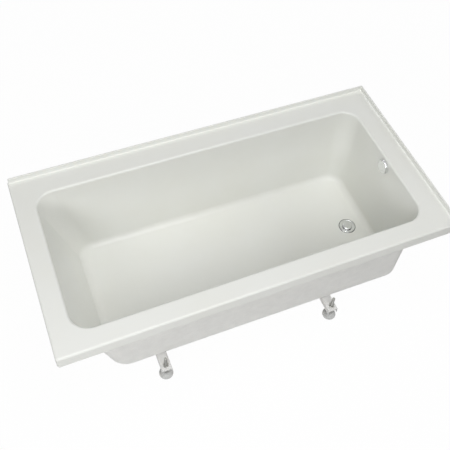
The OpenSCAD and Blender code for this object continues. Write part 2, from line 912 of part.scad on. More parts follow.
tub_shell();
fibreglass_backing();
floor_foam_bed();
base_board();
batten_front();
batten_left();
batten_back();
batten_right_front();
batten_right_back();
cradle_rail_left();
cradle_rail_right();
cradle_screws();
foot_nuts();
stud_front_left();
stud_back_left();
stud_front_right();
stud_back_right();
pad_front_left();
pad_back_left();
pad_front_right();
pad_back_right();
drain_flange();
drain_flange_seal();
drain_shoe_washer();
drain_shoe();
shoe_tube();
waste_tee();
slip_nut_side();
slip_nut_top();
slip_nut_bottom();
slip_washers();
overflow_tube();
overflow_elbow();
overflow_gasket();
overflow_ring_nut();
overflow_cover();
stopper_post();
stopper_stem();
stopper_cap();
stopper_seal();
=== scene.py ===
"""Corner bathtub: the looks of its shell, cradle, waste and overflow, built round the CAD frame.

Everything is in metres in the frame's axes: +X runs to the drain end, +Y to the back wall and +Z up,
with the origin on the floor under the middle of the rim. Outlines of turned forms and the corners of
blocks are in millimetres.
"""

import json
from math import cos, pi, radians, sin, sqrt, tan

import bmesh
import bpy
from bpy.props import FloatProperty, FloatVectorProperty, PointerProperty
from bpy.types import Operator, Panel, PropertyGroup
from mathutils import Matrix, Vector, noise

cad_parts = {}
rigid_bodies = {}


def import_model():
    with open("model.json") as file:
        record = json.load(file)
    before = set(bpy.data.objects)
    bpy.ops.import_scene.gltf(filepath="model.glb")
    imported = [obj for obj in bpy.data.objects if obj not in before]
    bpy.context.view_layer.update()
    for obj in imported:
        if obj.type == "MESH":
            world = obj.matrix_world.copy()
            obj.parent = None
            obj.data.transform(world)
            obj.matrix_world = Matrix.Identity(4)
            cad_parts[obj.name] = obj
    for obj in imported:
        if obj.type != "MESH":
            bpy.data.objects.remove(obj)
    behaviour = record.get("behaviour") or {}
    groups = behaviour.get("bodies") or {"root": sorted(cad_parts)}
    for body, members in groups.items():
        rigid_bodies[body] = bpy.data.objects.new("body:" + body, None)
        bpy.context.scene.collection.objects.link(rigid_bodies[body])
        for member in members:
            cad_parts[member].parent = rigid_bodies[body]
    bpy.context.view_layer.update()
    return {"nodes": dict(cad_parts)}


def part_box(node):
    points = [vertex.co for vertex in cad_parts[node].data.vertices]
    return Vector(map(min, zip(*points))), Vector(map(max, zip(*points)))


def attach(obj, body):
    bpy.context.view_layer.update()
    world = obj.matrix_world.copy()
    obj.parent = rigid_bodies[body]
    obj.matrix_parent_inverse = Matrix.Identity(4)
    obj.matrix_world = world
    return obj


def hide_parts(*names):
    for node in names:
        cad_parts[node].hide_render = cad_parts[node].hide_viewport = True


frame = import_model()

bl_info = {
    "name": "Corner bathtub",
    "version": (1, 0, 0),
    "blender": (4, 5, 0),
    "location": "3D View > Sidebar > Bathtub",
    "description": "Builds a corner bathtub's moulded shell, cradle, waste and overflow on its frame",
    "category": "Object",
}


def middle(node):
    """Middle of a CAD node's box, as x, y and z."""
    return [(low + high) / 2 for low, high in zip(*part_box(node))]


MM = 0.001
RIM_LOW, RIM_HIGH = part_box("tub_shell")
DRAIN_X, MID_Y = middle("drain_flange")[:2]
BARREL_DEPTH = 26  # From the seat of the drain's flange down to the foot of its barrel, in millimetres
DRAIN_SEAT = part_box("drain_flange")[0].z + BARREL_DEPTH * MM


# Sizes and colours that a user would change

def number(label, text, value, **more):
    return FloatProperty(name=label, description=text, default=value, min=0.0, **more)


def length(label, text, value):
    return number(label, text, value * MM, precision=4, unit="LENGTH")


def angle(label, text, value):
    return number(label, text, radians(value), subtype="ANGLE")


def colour(label, text, *levels):
    """A colour property, its default given as 0 to 255 screen levels."""
    linear = [((v / 255 + 0.055) / 1.055) ** 2.4 for v in levels]
    return FloatVectorProperty(
        name=label, description=text, default=linear, size=3, min=0.0, max=1.0, subtype="COLOR")


class BathShellSizes(PropertyGroup):
    ledge_front: length("Front ledge", "Flat ledge along the open front side", 76)
    ledge_left: length("Left ledge", "Flat ledge along the open left side", 76)
    ledge_back: length("Back ledge", "Ledge along the back wall, with the flange on it", 97)
    ledge_right: length("Right ledge", "Ledge along the drain end, with the flange on it", 96)
    skirt_drop: length("Skirt", "Drop of the skirt below the rim", 53)
    edge_radius: length("Rim edge radius", "Rounding of the rim's upper outer edge", 8)
    skirt_corner: length("Skirt corner radius", "Rounding of the skirt's upright corner", 10)
    flange_up: length("Flange height", "Height of the tiling flange above the rim", 22)
    flange_thick: length("Flange thickness", "Thickness of the tiling flange", 6)
    flange_cove: length("Flange cove", "Cove between the flange and the rim", 5)
    flange_end: length("Flange end radius", "Rounding of the flange's free ends", 8)
    basin_depth: length("Basin depth", "Depth of the basin under the rim, at the drain", 425)
    floor_fall: angle("Floor fall", "Fall of the floor to the drain", 1)
    lip_radius: length("Lip radius", "Rounding where the ledge turns down into the basin", 9)
    corner_radius: length("Basin corner radius", "Corner rounding of the basin from above", 70)
    side_draft: angle("Side lean", "Lean of the front and back walls", 1.5)
    drain_end_draft: angle("Drain end lean", "Lean of the drain end wall", 0.6)
    backrest_lean: angle("Backrest lean", "Lean of the backrest at the left end", 15.5)
    foot_radius: length("Foot radius", "Rounding between the walls and the floor", 26)
    backrest_foot: length("Backrest foot radius", "Rounding between the backrest and the floor", 42)
    acrylic: length("Acrylic thickness", "Thickness of the acrylic sheet", 4)
    laminate: length("Laminate thickness", "Thickness of the fibreglass behind it", 4)
    recess_radius: length("Drain recess radius", "Radius of the recess round the drain", 37.5)
    recess_depth: length("Drain recess depth", "Depth of the recess round the drain", 3)
    drain_hole: length("Drain hole radius", "Radius of the hole for the drain's barrel", 24)
    overflow_hole: length("Overflow hole radius", "Radius of the hole for the overflow's neck", 25.5)
    overflow_depth: length("Overflow depth", "Depth of the overflow under the rim", 42)


class BathColours(PropertyGroup):
    acrylic: colour("Acrylic", "Moulded acrylic shell", 236, 237, 233)
    resin: colour("Laminate resin", "White pigmented resin of the fibreglass backing", 238, 238, 235)
    strand: colour("Glass strands", "Glass strands in the backing", 246, 246, 243)
    foam: colour("Foam", "Foam bed under the floor", 219, 205, 160)
    ply_light: colour("Plywood face", "Light veneer of the base board", 203, 170, 125)
    ply_dark: colour("Plywood grain", "Dark grain of the base board", 160, 120, 78)
    pine_light: colour("Batten wood", "Light wood of the battens", 222, 192, 146)
    pine_dark: colour("Batten grain", "Dark grain of the battens", 186, 144, 96)
    powder: colour("Powder coat", "White powder coat on the cradle rails", 236, 236, 235)
    plated: colour("Zinc plating", "Plating of the studs, nuts and screws", 198, 198, 194)
    foot_rubber: colour("Foot rubber", "Pale grey rubber of the levelling feet", 204, 205, 204)
    seal_rubber: colour("Seal rubber", "Rubber of the seals and gaskets", 44, 44, 45)
    chrome: colour("Chrome", "Polished plating of the drain and overflow", 238, 239, 240)
    stopper: colour("Stopper metal", "Turned brass of the stopper's stem and post", 206, 180, 124)
    pipe: colour("Pipe plastic", "Moulded waste fittings", 62, 63, 66)
    brass: colour("Tube brass", "Drawn brass of the waste tubes", 214, 184, 118)
    washer: colour("Washer plastic", "Slip washers of the unions", 232, 232, 228)


class BathStage(PropertyGroup):
    lamps: number("Lamps", "Share of their full power that the lamps give", 1.0, subtype="FACTOR")
    sky: number("Room light", "Strength of the even light of the room", 0.0)
    mirrored: number("Mirrored room", "Brightness of the room and floor in reflections", 0.5)
    floor_colour: colour("Floor", "Plain pale studio floor", 240, 240, 239)


# Mesh helpers

def solid(points, faces):
    """Mesh of a closed form, its faces turned outward."""
    mesh = bpy.data.meshes.new("form")
    mesh.from_pydata([tuple(p) for p in points], [], faces)
    shape = bmesh.new()
    shape.from_mesh(mesh)
    bmesh.ops.remove_doubles(shape, verts=shape.verts, dist=1e-6)
    bmesh.ops.recalc_face_normals(shape, faces=shape.faces)
    shape.to_mesh(mesh)
    shape.free()
    return mesh


def meshed(shape, name):
    """Mesh with the given name made of a bmesh, which is freed."""
    mesh = bpy.data.meshes.new(name)
    shape.to_mesh(mesh)
    shape.free()
    return mesh


def loft(rings, looped=False):
    """Closed form through rings of equal length: a stack capped at both ends, or a loop."""
    rows, count = len(rings), len(rings[0])
    faces = [
        (k * count + i, k * count + (i + 1) % count,
         (k + 1) % rows * count + (i + 1) % count, (k + 1) % rows * count + i)
        for k in range(rows if looped else rows - 1) for i in range(count)]
    if not looped:
        faces += [tuple(range(count)), tuple((rows - 1) * count + i for i in range(count))]
    return solid([p for one in rings for p in one], faces)


def rounded(corners, steps):
    """Points of a closed outline whose corners (x, y, radius) are rounded off and (x, y) stay sharp."""
    points = []
    for i, (x, y, *radius) in enumerate(corners):
        here = Vector((x, y))
        if not any(radius):
            points.append(here)
            continue
        before = Vector(corners[i - 1][:2]) - here
        after = Vector(corners[(i + 1) % len(corners)][:2]) - here
        reach = min(radius[0], 0.48 * before.length, 0.48 * after.length)
        start, end = here + before.normalized() * reach, here + after.normalized() * reach
        for k in range(steps + 1):
            f = k / steps
            points.append(start * (1 - f) ** 2 + here * 2 * f * (1 - f) + end * f ** 2)
    return points


def lathe(corners, steps=96, swell=None, fillet=4):
    """Form turned round Z from a closed outline of (radius, height, rounding), sharp without the last.
    swell(radius, height, angle) gives a changed radius in metres, for lobes and grips."""
    outline = rounded([[v * MM for v in corner] for corner in corners], fillet)
    rings = []
    for k in range(steps):
        a = 2 * pi * k / steps
        radii = [swell(p.x, p.y, a) if swell else p.x for p in outline]
        rings.append([(r * cos(a), r * sin(a), p.y) for r, p in zip(radii, outline)])
    return loft(rings, looped=True)


def spindle(corners, steps=96, **more):
    """Turned form that is solid to its axis, from the corners that are off the axis."""
    return lathe([(0, corners[0][1]), *corners, (0, corners[-1][1])], steps, **more)


def slab(low, high, radius=0.0, steps=2):
    """Box between two corners in metres, with its edges rounded."""
    shape = bmesh.new()
    bmesh.ops.create_cube(shape, size=1.0)
    low, high = Vector(low), Vector(high)
    for v in shape.verts:
        v.co = Vector([low[i] + (v.co[i] + 0.5) * (high[i] - low[i]) for i in range(3)])
    if radius:
        bmesh.ops.bevel(
            shape, geom=list(shape.edges), offset=radius, segments=steps, profile=0.5, affect="EDGES")
    return meshed(shape, "slab")


def block(low, high, radius=0.0):
    """Slab with its corners and rounding in millimetres."""
    return slab([v * MM for v in low], [v * MM for v in high], radius * MM)


def placed(mesh, *steps):
    """A copy of the mesh moved by the matrices, the first one first."""
    copy = mesh.copy()
    for step in steps:
        copy.transform(step)
    return copy


def at(x, y, z):
    return Matrix.Translation((x, y, z))


def turned(degrees, axis):
    return Matrix.Rotation(radians(degrees), 4, axis)


def at_drain(mesh, z=DRAIN_SEAT):
    """A copy of the mesh on the drain's axis, raised by z."""
    return placed(mesh, at(DRAIN_X, MID_Y, z))


def disc(radius, low, high, x=DRAIN_X, y=MID_Y, steps=96):
    """Plain round cutter or boss between two heights, in metres; on the drain's axis by default."""
    r = radius / MM
    return placed(spindle([(r, low / MM), (r, high / MM)], steps), at(x, y, 0))


def together(*meshes):
    """Several meshes as one, without joining their skins."""
    shape = bmesh.new()
    for mesh in meshes:
        shape.from_mesh(mesh)
    return meshed(shape, "whole")


def worked(mesh, joins=(), keeps=(), cuts=()):
    """The mesh with closed meshes joined on, then trimmed to those in keeps, then those in cuts
    taken away."""
    links = bpy.context.scene.collection.objects
    work = bpy.data.objects.new("work", mesh)
    links.link(work)
    tools = []
    for operation, others in (("UNION", joins), ("INTERSECT", keeps), ("DIFFERENCE", cuts)):
        for other in others:
            tool = bpy.data.objects.new("tool", other)
            links.link(tool)
            tools.append(tool)
            step = work.modifiers.new(operation, "BOOLEAN")
            step.operation, step.object, step.solver = operation, tool, "EXACT"
    bpy.context.view_layer.update()
    made = bpy.data.meshes.new_from_object(work.evaluated_get(bpy.context.evaluated_depsgraph_get()))
    for thing in [work] + tools:
        bpy.data.objects.remove(thing)
    return made


def piece(name, mesh, slot, *nodes, body="tub", sharp=32, material=None):
    """One named piece of the bath that rides on a body and stands for CAD nodes."""
    if not mesh.polygons:
        raise RuntimeError(name + " has no faces")
    old = bpy.data.objects.get(name)
    if old:
        bpy.data.objects.remove(old)
    mesh.name = name
    mesh.polygons.foreach_set("use_smooth", [True] * len(mesh.polygons))
    mesh.set_sharp_from_angle(angle=radians(sharp))
    mesh.materials.clear()
    mesh.materials.append(material or FINISHES[slot]())
    made = bpy.data.objects.new(name, mesh)
    bpy.context.scene.collection.objects.link(made)
    made.modifiers.new("even shading", "WEIGHTED_NORMAL").keep_sharp = True
    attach(made, body)
    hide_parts(*nodes)


def dress(node, slot):
    """Gives a CAD node that stays in view its finish."""
    thing = frame["nodes"][node]
    thing.data.materials.clear()
    thing.data.materials.append(FINISHES[slot]())


# The basin and the rim

ARC_STEPS, STRAIGHT_STEPS = 14, 24
WALL_SETBACK = 0.5 * MM  # The rim's edge on the wall sides stands this far inside the flange's face
FLANGE_START = 4 * MM  # The flange's free ends stand this far in from the open sides
SKIRT_EASE = 0.9 * MM  # Easing of the skirt's lower outer edge
LAMINATE_LUMP = 0.9 * MM  # Height of the lumps on the laminate's outer face
BOSS = 6 * MM  # Added to the radius of the drain's recess for the boss behind it


def deck_height(s):
    return RIM_HIGH.z - s.flange_up


def drain_seat_height(s):
    return deck_height(s) - s.basin_depth - s.recess_depth


def overflow_height(s):
    return deck_height(s) - s.overflow_depth


def drop(s, x):
    """Depth of the basin at x as a share of its depth at the drain."""
    return 1 - tan(s.floor_fall) * (DRAIN_X - x) / s.basin_depth


def wall_inset(s, depth, lean, foot, out):
    """How far in from its line on the rim a wall stands, on the surface pushed out by out."""
    lip, toe = s.lip_radius - out, foot + out
    foot_depth = s.basin_depth - foot
    if depth < s.lip_radius - lip * sin(lean):
        centre = s.lip_radius * tan(lean) - s.lip_radius / cos(lean)
        return centre + sqrt(max(0, lip ** 2 - (s.lip_radius - depth) ** 2))
    if depth > foot_depth + toe * sin(lean):
        centre = foot_depth * tan(lean) + foot / cos(lean)
        return centre - sqrt(max(0, toe ** 2 - (depth - foot_depth) ** 2))
    return depth * tan(lean) - out / cos(lean)


def ring(x0, x1, y0, y1, radii):
    """Rounded rectangle from its back right corner, counter-clockwise, with points along its sides."""
    centres = [(x1 - radii[0], y1 - radii[0]), (x0 + radii[1], y1 - radii[1]),
               (x0 + radii[2], y0 + radii[2]), (x1 - radii[3], y0 + radii[3])]
    points = []
    for c, (x, y) in enumerate(centres):
        for i in range(ARC_STEPS + 1):
            a = pi / 2 * (c + i / ARC_STEPS)
            points.append(Vector((x + radii[c] * cos(a), y + radii[c] * sin(a))))
        n = (c + 1) % 4
        a = pi / 2 * (c + 1)
        end = Vector((centres[n][0] + radii[n] * cos(a), centres[n][1] + radii[n] * sin(a)))
        points += [points[-1].lerp(end, i / STRAIGHT_STEPS) for i in range(1, STRAIGHT_STEPS)]
    return points


def inset_ring(low, high, inset, radius):
    """A ring that stands in from the sides of a box."""
    return ring(low.x + inset, high.x - inset, low.y + inset, high.y - inset, [radius] * 4)


def level(ring_points, z):
    """The points of a ring at one height."""
    return [(p.x, p.y, z) for p in ring_points]


def basin_rings(s, out):
    """The basin's surface pushed out by out, from its floor up to the rim."""
    left, right = RIM_LOW.x + s.ledge_left, RIM_HIGH.x - s.ledge_right
    front, back = RIM_LOW.y + s.ledge_front, RIM_HIGH.y - s.ledge_back
    lip, foot, foot_top = s.lip_radius, s.backrest_foot, s.basin_depth - s.backrest_foot
    lip_steps, wall_steps, foot_steps = 10, 8, 18
    depths = [lip - (lip - out) * cos(pi / 2 * i / lip_steps) for i in range(lip_steps + 1)]
    depths += [lip + (foot_top - lip) * i / wall_steps for i in range(1, wall_steps)]
    depths += [foot_top + (foot + out) * sin(pi / 2 * i / foot_steps) for i in range(foot_steps + 1)]
    rings = []
    for depth in reversed(depths):
        side = wall_inset(s, depth, s.side_draft, s.foot_radius, out)
        tuck = side - (depth * tan(s.side_draft) - out / cos(s.side_draft))
        r = max(s.foot_radius / 2, s.corner_radius - tuck)
        flat = ring(left + wall_inset(s, depth, s.backrest_lean, s.backrest_foot, out),
                    right - wall_inset(s, depth, s.drain_end_draft, s.foot_radius, out),
                    front + side, back - side, [r] * 4)
        rings.append([(p.x, p.y, deck_height(s) - out - (depth - out) * drop(s, p.x)) for p in flat])
    return rings


def rim_rings(s, out, eased=0.0):
    """The rim's outside surface pushed in by out, from its edge down to the skirt's foot."""
    r = max(0.5 * MM, s.edge_radius - out)
    deck, foot = deck_height(s), deck_height(s) - s.skirt_drop
    steps = 12
    rows = []
    for i in range(steps + 1):
        a = pi / 2 * (1 - i / steps)
        rows.append((r * (1 - cos(a)), deck - out - r * (1 - sin(a))))
    if eased:
        rows += [(0, foot + eased), (eased * 0.3, foot + eased * 0.3), (eased, foot)]
    else:
        rows.append((0, foot))
    rings = []
    for inward, z in rows:
        inset = out + inward
        back = WALL_SETBACK + out + (inward if z < foot + eased else 0)
        flat = ring(RIM_LOW.x + inset, RIM_HIGH.x - back, RIM_LOW.y + inset, RIM_HIGH.y - back,
                    [MM, MM, max(MM, s.skirt_corner - inset), MM])
        rings.append(level(flat, z))
    return rings


def skin(s, near, far, eased=0.0):
    """Moulded skin between two surfaces of the basin and rim, the far one's points first."""
    return loft(basin_rings(s, far) + rim_rings(s, far)
                + rim_rings(s, near, eased)[::-1] + basin_rings(s, near)[::-1])


def tiling_flange(s):
    """Upstand along the back wall, round the corner and along the drain end."""
    top, up, thick, cove = s.flange_thick / 3, s.flange_up, s.flange_thick, s.flange_cove
    quarter, turn = [radians(15 * i) for i in range(7)], [radians(180 + 9 * i) for i in range(11)]
    section = [(0, -s.acrylic / 2)]
    section += [(top * (1 - cos(a)), up - top * (1 - sin(a))) for a in quarter]
    section += [(thick - top * (1 - sin(a)), up - top * (1 - cos(a))) for a in quarter]
    section += [(thick + cove * (1 + cos(a)), cove * (1 + sin(a)) - 0.04 * cove) for a in turn]
    section += [(thick + cove, -s.acrylic / 2)]
    deck = deck_height(s)

    def along_back(inward, d):
        return (RIM_LOW.x + FLANGE_START + d, RIM_HIGH.y - inward)

    def along_end(inward, d):
        return (RIM_HIGH.x - inward, RIM_LOW.y + FLANGE_START + d)

    def station(d, place):
        share = 1 - s.flange_end / up * (1 - sqrt(max(0, 1 - (1 - d / s.flange_end) ** 2)))
        return [place(inward, d) + (deck + (z * share if z > 0 else z),) for inward, z in section]

    steps = [0.02, 0.06, 0.15, 0.3, 0.5, 0.75, 1]
    rings = [station(d * s.flange_end, along_back) for d in steps]
    rings.append([(RIM_HIGH.x - inward, RIM_HIGH.y - inward, deck + z) for inward, z in section])
    rings += [station(d * s.flange_end, along_end) for d in reversed(steps)]
    return loft(rings)


def waste_holes(s):
    """Cutters for the drain's barrel and for the overflow's neck."""
    seat = drain_seat_height(s)
    bore = disc(s.overflow_hole, -30 * MM, 30 * MM, 0, 0)
    return [disc(s.drain_hole, seat - 20 * MM, seat + 20 * MM),
            placed(bore, turned(90, "Y"), at(RIM_HIGH.x - s.ledge_right, MID_Y, overflow_height(s)))]


class BATH_OT_shell(Operator):
    """Mould the acrylic shell: basin, rim, skirt and tiling flange in one sheet"""
    bl_idname = "bath.shell"
    bl_label = "Acrylic shell"

    def execute(self, context):
        s = context.scene.bath_shell
        seat = drain_seat_height(s)
        boss = disc(s.recess_radius + BOSS, seat - s.acrylic, seat + s.recess_depth - MM)
        r, z = s.recess_radius / MM, seat / MM
        recess = spindle([(r, z, 0.6), (r, z + 2.2, 0.8), (r + 1.2, z + 4), (r + 1.2, z + 12)], 128)
        mesh = worked(skin(s, 0, s.acrylic, eased=SKIRT_EASE), joins=[tiling_flange(s), boss],
                      cuts=[at_drain(recess, 0)] + waste_holes(s))
        piece("bath_shell", mesh, "acrylic", "tub_shell", sharp=38)
        return {"FINISHED"}


class BATH_OT_backing(Operator):
    """Lay up the fibreglass behind the acrylic, its outer face slightly uneven"""
    bl_idname = "bath.backing"
    bl_label = "Fibreglass backing"

    def execute(self, context):
        s = context.scene.bath_shell
        seat, wall = drain_seat_height(s), s.acrylic + s.laminate
        mesh = skin(s, s.acrylic, wall)
        outer_rings = basin_rings(s, wall) + rim_rings(s, wall)
        outer = len(outer_rings) * len(outer_rings[0]) - 1
        normals = [v.normal.copy() for v in mesh.vertices]
        for v in mesh.vertices[:outer]:
            lump = noise.noise(v.co * 28) * 0.5 + noise.noise(v.co * 90 + Vector((7, 3, 1))) * 0.3 + 0.5
            v.co -= normals[v.index] * LAMINATE_LUMP * max(0.0, min(1.0, lump))
        boss = disc(s.recess_radius + BOSS + s.laminate, seat - wall, seat + 2 * MM)
        inside = disc(s.recess_radius + BOSS, seat - s.acrylic, seat + 4 * MM)
        mesh = worked(mesh, joins=[boss], cuts=[inside] + waste_holes(s))
        piece("laminate_backing", mesh, "fibreglass", "fibreglass_backing", sharp=50)
        return {"FINISHED"}


# Drain, stopper and overflow

class BATH_OT_drain(Operator):
    """Turn the chrome drain flange with its barrel and cross, and its dark seal, whose rim reaches past
    the flange as painted shade in the gap round it
    """
    bl_idname = "bath.drain"
    bl_label = "Drain flange"

    def execute(self, context):
        body = lathe([
            (19, -BARREL_DEPTH, 0.3), (22.9, -BARREL_DEPTH, 0.3), (22.9, 0), (34.4, 0, 0.2),
            (35, 0.4, 0.3), (35, 1.3, 0.8), (33.6, 2.6, 0.7), (31.2, 2.6, 0.5), (30.6, 2.25, 0.4),
            (23.5, 1.55, 1.5), (20.2, 0.9, 1.2), (19, -1.4, 1)], 128, fillet=5)
        hub = lathe([(4.3, -24.5, 0.2), (8, -24.5, 0.5), (8, -19.5, 0.5), (4.3, -19.5, 0.2)], 48)
        arm = block((6.5, -1.5, -24.5), (19.6, 1.5, -19.5), 0.4)
        arms = [placed(arm, turned(90 * i, "Z")) for i in range(4)]
        # Real dark rubber seal, widened to 37.2 mm past the flange's 35 mm edge so that its rim shows
        # in the recess gap as a ring of painted shade
        seal = lathe([(24, -1.2, 0.3), (37.2, -1.2, 0.3), (37.2, -0.02, 0.3), (24, -0.02, 0.3)])
        piece("drain_collar", at_drain(together(body, hub, *arms)), "chrome", "drain_flange")
        piece("drain_collar_seal", at_drain(seal), "seal_rubber", "drain_flange_seal")
        return {"FINISHED"}


class BATH_OT_stopper(Operator):
    """Turn the stopper's post, stem, domed cap and rubber seal"""
    bl_idname = "bath.stopper"
    bl_label = "Stopper"

    def execute(self, context):
        base = 3.4  # Height of the cap's underside over the drain's seat, in millimetres
        cap = lathe([
            (0, base), (20, base, 0.4), (21, base + 0.9, 0.6), (21, base + 2.5, 0.8),
            (19.9, base + 3.9, 1.4), (17.2, base + 4.25, 0.8), (16.6, base + 4.45, 0.5),
            (10.5, base + 4.9, 3), (0, base + 5)], 128, fillet=5)
        stem = lathe([(5.58, -17.5, 0.2), (8, -17.5, 0.6), (8, base), (5.58, base)], 64)
        seal = lathe([
            (8.08, base - 2.4, 0.3), (17.8, base - 2.4, 0.4), (20.4, 2.1, 0.4), (20.6, base, 0.2),
            (8.08, base)])
        post = spindle([(4.2, -26.5, 0.6), (4.2, -19.5), (5.5, -19.5, 0.3), (5.5, 2.4, 0.8)], 48)
        for name, mesh, slot, node in (
                ("stopper_dome", cap, "chrome", "stopper_cap"),
                ("stopper_sleeve", stem, "stopper_metal", "stopper_stem"),
                ("stopper_ring_seal", seal, "seal_rubber", "stopper_seal")):
            piece(name, at_drain(mesh), slot, node, body="stopper")
        piece("stopper_spindle", at_drain(post), "stopper_metal", "stopper_post")
        return {"FINISHED"}


class BATH_OT_overflow(Operator):
    """Press the overflow cover with its water inlet, turn the ring nut and colour the gasket"""
    bl_idname = "bath.overflow"
    bl_label = "Overflow"

    def execute(self, context):
        low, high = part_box("overflow_cover")
        height = middle("overflow_cover")[2]
        deep = (high.x - low.x) / MM
        shell = lathe([
            (28.3, 0, 0.3), (31, 0, 0.3), (31, deep, 6.1), (18, deep, 1), (17, deep - 0.35, 1),
            (0, deep - 0.2), (0, deep - 1.6), (24.5, deep - 1.6, 1), (28.3, 6.6, 1)],
            128, fillet=8)
        inlet = block((-6.4, -15.4, -36), (1, 15.4, -15.6), 1.5)
        cover = worked(placed(shell, turned(-90, "Y")), cuts=[inlet])
        piece("overflow_face", placed(cover, at(high.x, MID_Y, height)), "chrome", "overflow_cover")
        notch = block((-2, 26, 3), (2, 30, 7))
        nut = worked(lathe([(24.1, 0, 0.3), (28, 0, 0.6), (28, 6, 0.8), (24.1, 6, 0.5)]),
                     cuts=[placed(notch, turned(45 + 90 * i, "Z")) for i in range(4)])
        nut_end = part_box("overflow_ring_nut")[1].x
        piece("overflow_clamp_ring", placed(nut, turned(-90, "Y"), at(nut_end, MID_Y, height)),
              "pipe_plastic", "overflow_ring_nut")
        dress("overflow_gasket", "seal_rubber")
        return {"FINISHED"}


# Timber, board, foam

TIMBER_EASE, BOARD_EASE, BOARD_CORNER = 1.6 * MM, 1.2 * MM, 30 * MM
FOAM_BULGE, FOAM_LUMP, FOAM_CORNER = 5 * MM, 5 * MM, 26 * MM

# CAD node of each batten with the name of its piece and whether it runs along X
BATTENS = [
    ("batten_front", "rim_batten_front", True), ("batten_back", "rim_batten_back", True),
    ("batten_left", "rim_batten_left", False), ("batten_right_front", "rim_batten_end_front", False),
    ("batten_right_back", "rim_batten_end_back", False)]


class BATH_OT_timber(Operator):
    """Saw the five battens under the rim and the plywood base board"""
    bl_idname = "bath.timber"
    bl_label = "Battens and base board"

    def execute(self, context):
        for node, name, along_x in BATTENS:
            timber = slab(*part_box(node), TIMBER_EASE, 3)
            piece(name, timber, "batten", node, material=pine(along_x))
        low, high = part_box("base_board")
        edge = [(BOARD_EASE * a, BOARD_EASE * b) for a, b in ((1, 0), (0.3, 0.3), (0, 1))]
        rows = [(inset, low.z + up) for inset, up in edge]
        rows += [(inset, high.z - up) for inset, up in reversed(edge)]
        rings = [level(inset_ring(low, high, inset, BOARD_CORNER - inset), z) for inset, z in rows]
        piece("base_panel", loft(rings), "board", "base_board")
        return {"FINISHED"}


class BATH_OT_foam(Operator):
    """Pour the foam bed between the floor and the base board, its sides squeezed uneven"""
    bl_idname = "bath.foam"
    bl_label = "Foam bed"

    def execute(self, context):
        s = context.scene.bath_shell
        low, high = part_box("floor_foam_bed")
        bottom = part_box("base_board")[1].z
        centre = Vector(middle("floor_foam_bed")[:2])
        rings = []
        rows = 7
        for k in range(rows + 1):
            f = k / rows
            bulge = FOAM_BULGE * (1 - sin(pi * f)) + MM
            row = []
            for p in inset_ring(low, high, bulge, FOAM_CORNER):
                top = deck_height(s) - (s.acrylic + s.laminate) - s.basin_depth * drop(s, p.x)
                z = bottom + (top - bottom) * f
                lump = noise.noise(Vector((p.x * 32, p.y * 32, z * 60))) * 0.5 + 0.5
                q = p + (centre - p).normalized() * lump * FOAM_LUMP
                row.append((q.x, q.y, z))
            rings.append(row)
        piece("foam_pad", loft(rings), "foam", "floor_foam_bed", sharp=60)
        return {"FINISHED"}


# Cradle and feet

FEET = ("front_left", "back_left", "front_right", "back_right")
RAIL_GAUGE, NUT_HEIGHT = 2.5, 9  # In millimetres
STUD_HOLE_R, SCREW_ROW, SCREW_HEAD_R = 6.5 * MM, 10 * MM, 5 * MM


def channel(low, high, holes):
    """Folded channel with its open side down, along Y."""
    w, h, gauge = (high.x - low.x) / 2 / MM, (high.z - low.z) / MM, RAIL_GAUGE
    outline = rounded([
        (-w, -h, 0.7), (-w + gauge, -h, 0.7), (-w + gauge, -gauge, 1.4), (w - gauge, -gauge, 1.4),
        (w - gauge, -h, 0.7), (w, -h, 0.7), (w, 0, 4), (-w, 0, 4)], 6)
    x, count = (low.x + high.x) / 2, 24
    rings = [[(x + p.x * MM, low.y + (high.y - low.y) * k / count, high.z + p.y * MM) for p in outline]
             for k in range(count + 1)]
    return worked(loft(rings), cuts=holes)


def screw_places():
    """Place of each screw's head, below the web of its rail: two rows of two in each rail."""
    low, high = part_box("cradle_screws")
    for side in ("left", "right"):
        x, z = middle("cradle_rail_" + side)[0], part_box("cradle_rail_" + side)[1].z - RAIL_GAUGE * MM
        for row in (-SCREW_ROW, SCREW_ROW):
            for y in (low.y + SCREW_HEAD_R, high.y - SCREW_HEAD_R):
                yield x + row, y, z


class BATH_OT_cradle(Operator):
    """Fold the two white coated rails and drive the screws that hold them to the board"""
    bl_idname = "bath.cradle"
    bl_label = "Cradle rails and screws"

    def execute(self, context):
        studs = [middle("stud_" + foot) for foot in FEET]
        for side in ("left", "right"):
            low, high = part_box("cradle_rail_" + side)
            holes = [disc(STUD_HOLE_R, high.z - 6 * MM, high.z + 3 * MM, x, y, 48)
                     for x, y, _ in studs if low.x < x < high.x]
            piece("channel_rail_" + side, channel(low, high, holes), "rail_steel",
                  "cradle_rail_" + side)
        shank = lathe([(0, -0.2), (2.5, -0.2), (2.5, 12.5, 0.4), (1.2, 13.4, 0.4), (0, 13.5)], 24)
        slot = block((-2.6, -0.45, -3.5), (2.6, 0.45, -1.1))
        head = worked(spindle([(3.2, -2.4, 1.2), (5, -1.0, 1.2), (5, 0, 0.2)], 32),
                      cuts=[placed(slot, turned(a, "Z")) for a in (20, 110)])
        screws = [placed(m, turned(37 * i, "Z"), at(*place))
                  for i, place in enumerate(screw_places()) for m in (shank, head)]
        piece("board_screws", together(*screws), "zinc", "cradle_screws")
        return {"FINISHED"}


def threaded_rod(length_mm, radius_mm):
    """Rod with a rolled thread, its ends chamfered."""
    pitch, rows_per_turn, sides = 2.0, 4, 20
    rows = int(length_mm / pitch * rows_per_turn)
    rings = []
    for k in range(rows + 1):
        z = length_mm * k / rows
        chamfer = max(0.0, 1.2 - z, 1.2 - (length_mm - z))
        row = []
        for i in range(sides):
            a = 2 * pi * i / sides
            phase = (z / pitch - i / sides) % 1
            r = min(radius_mm, radius_mm - 0.75 * abs(2 * phase - 1)) - 0.8 * chamfer
            row.append((r * cos(a) * MM, r * sin(a) * MM, z * MM))
        rings.append(row)
    return loft(rings)


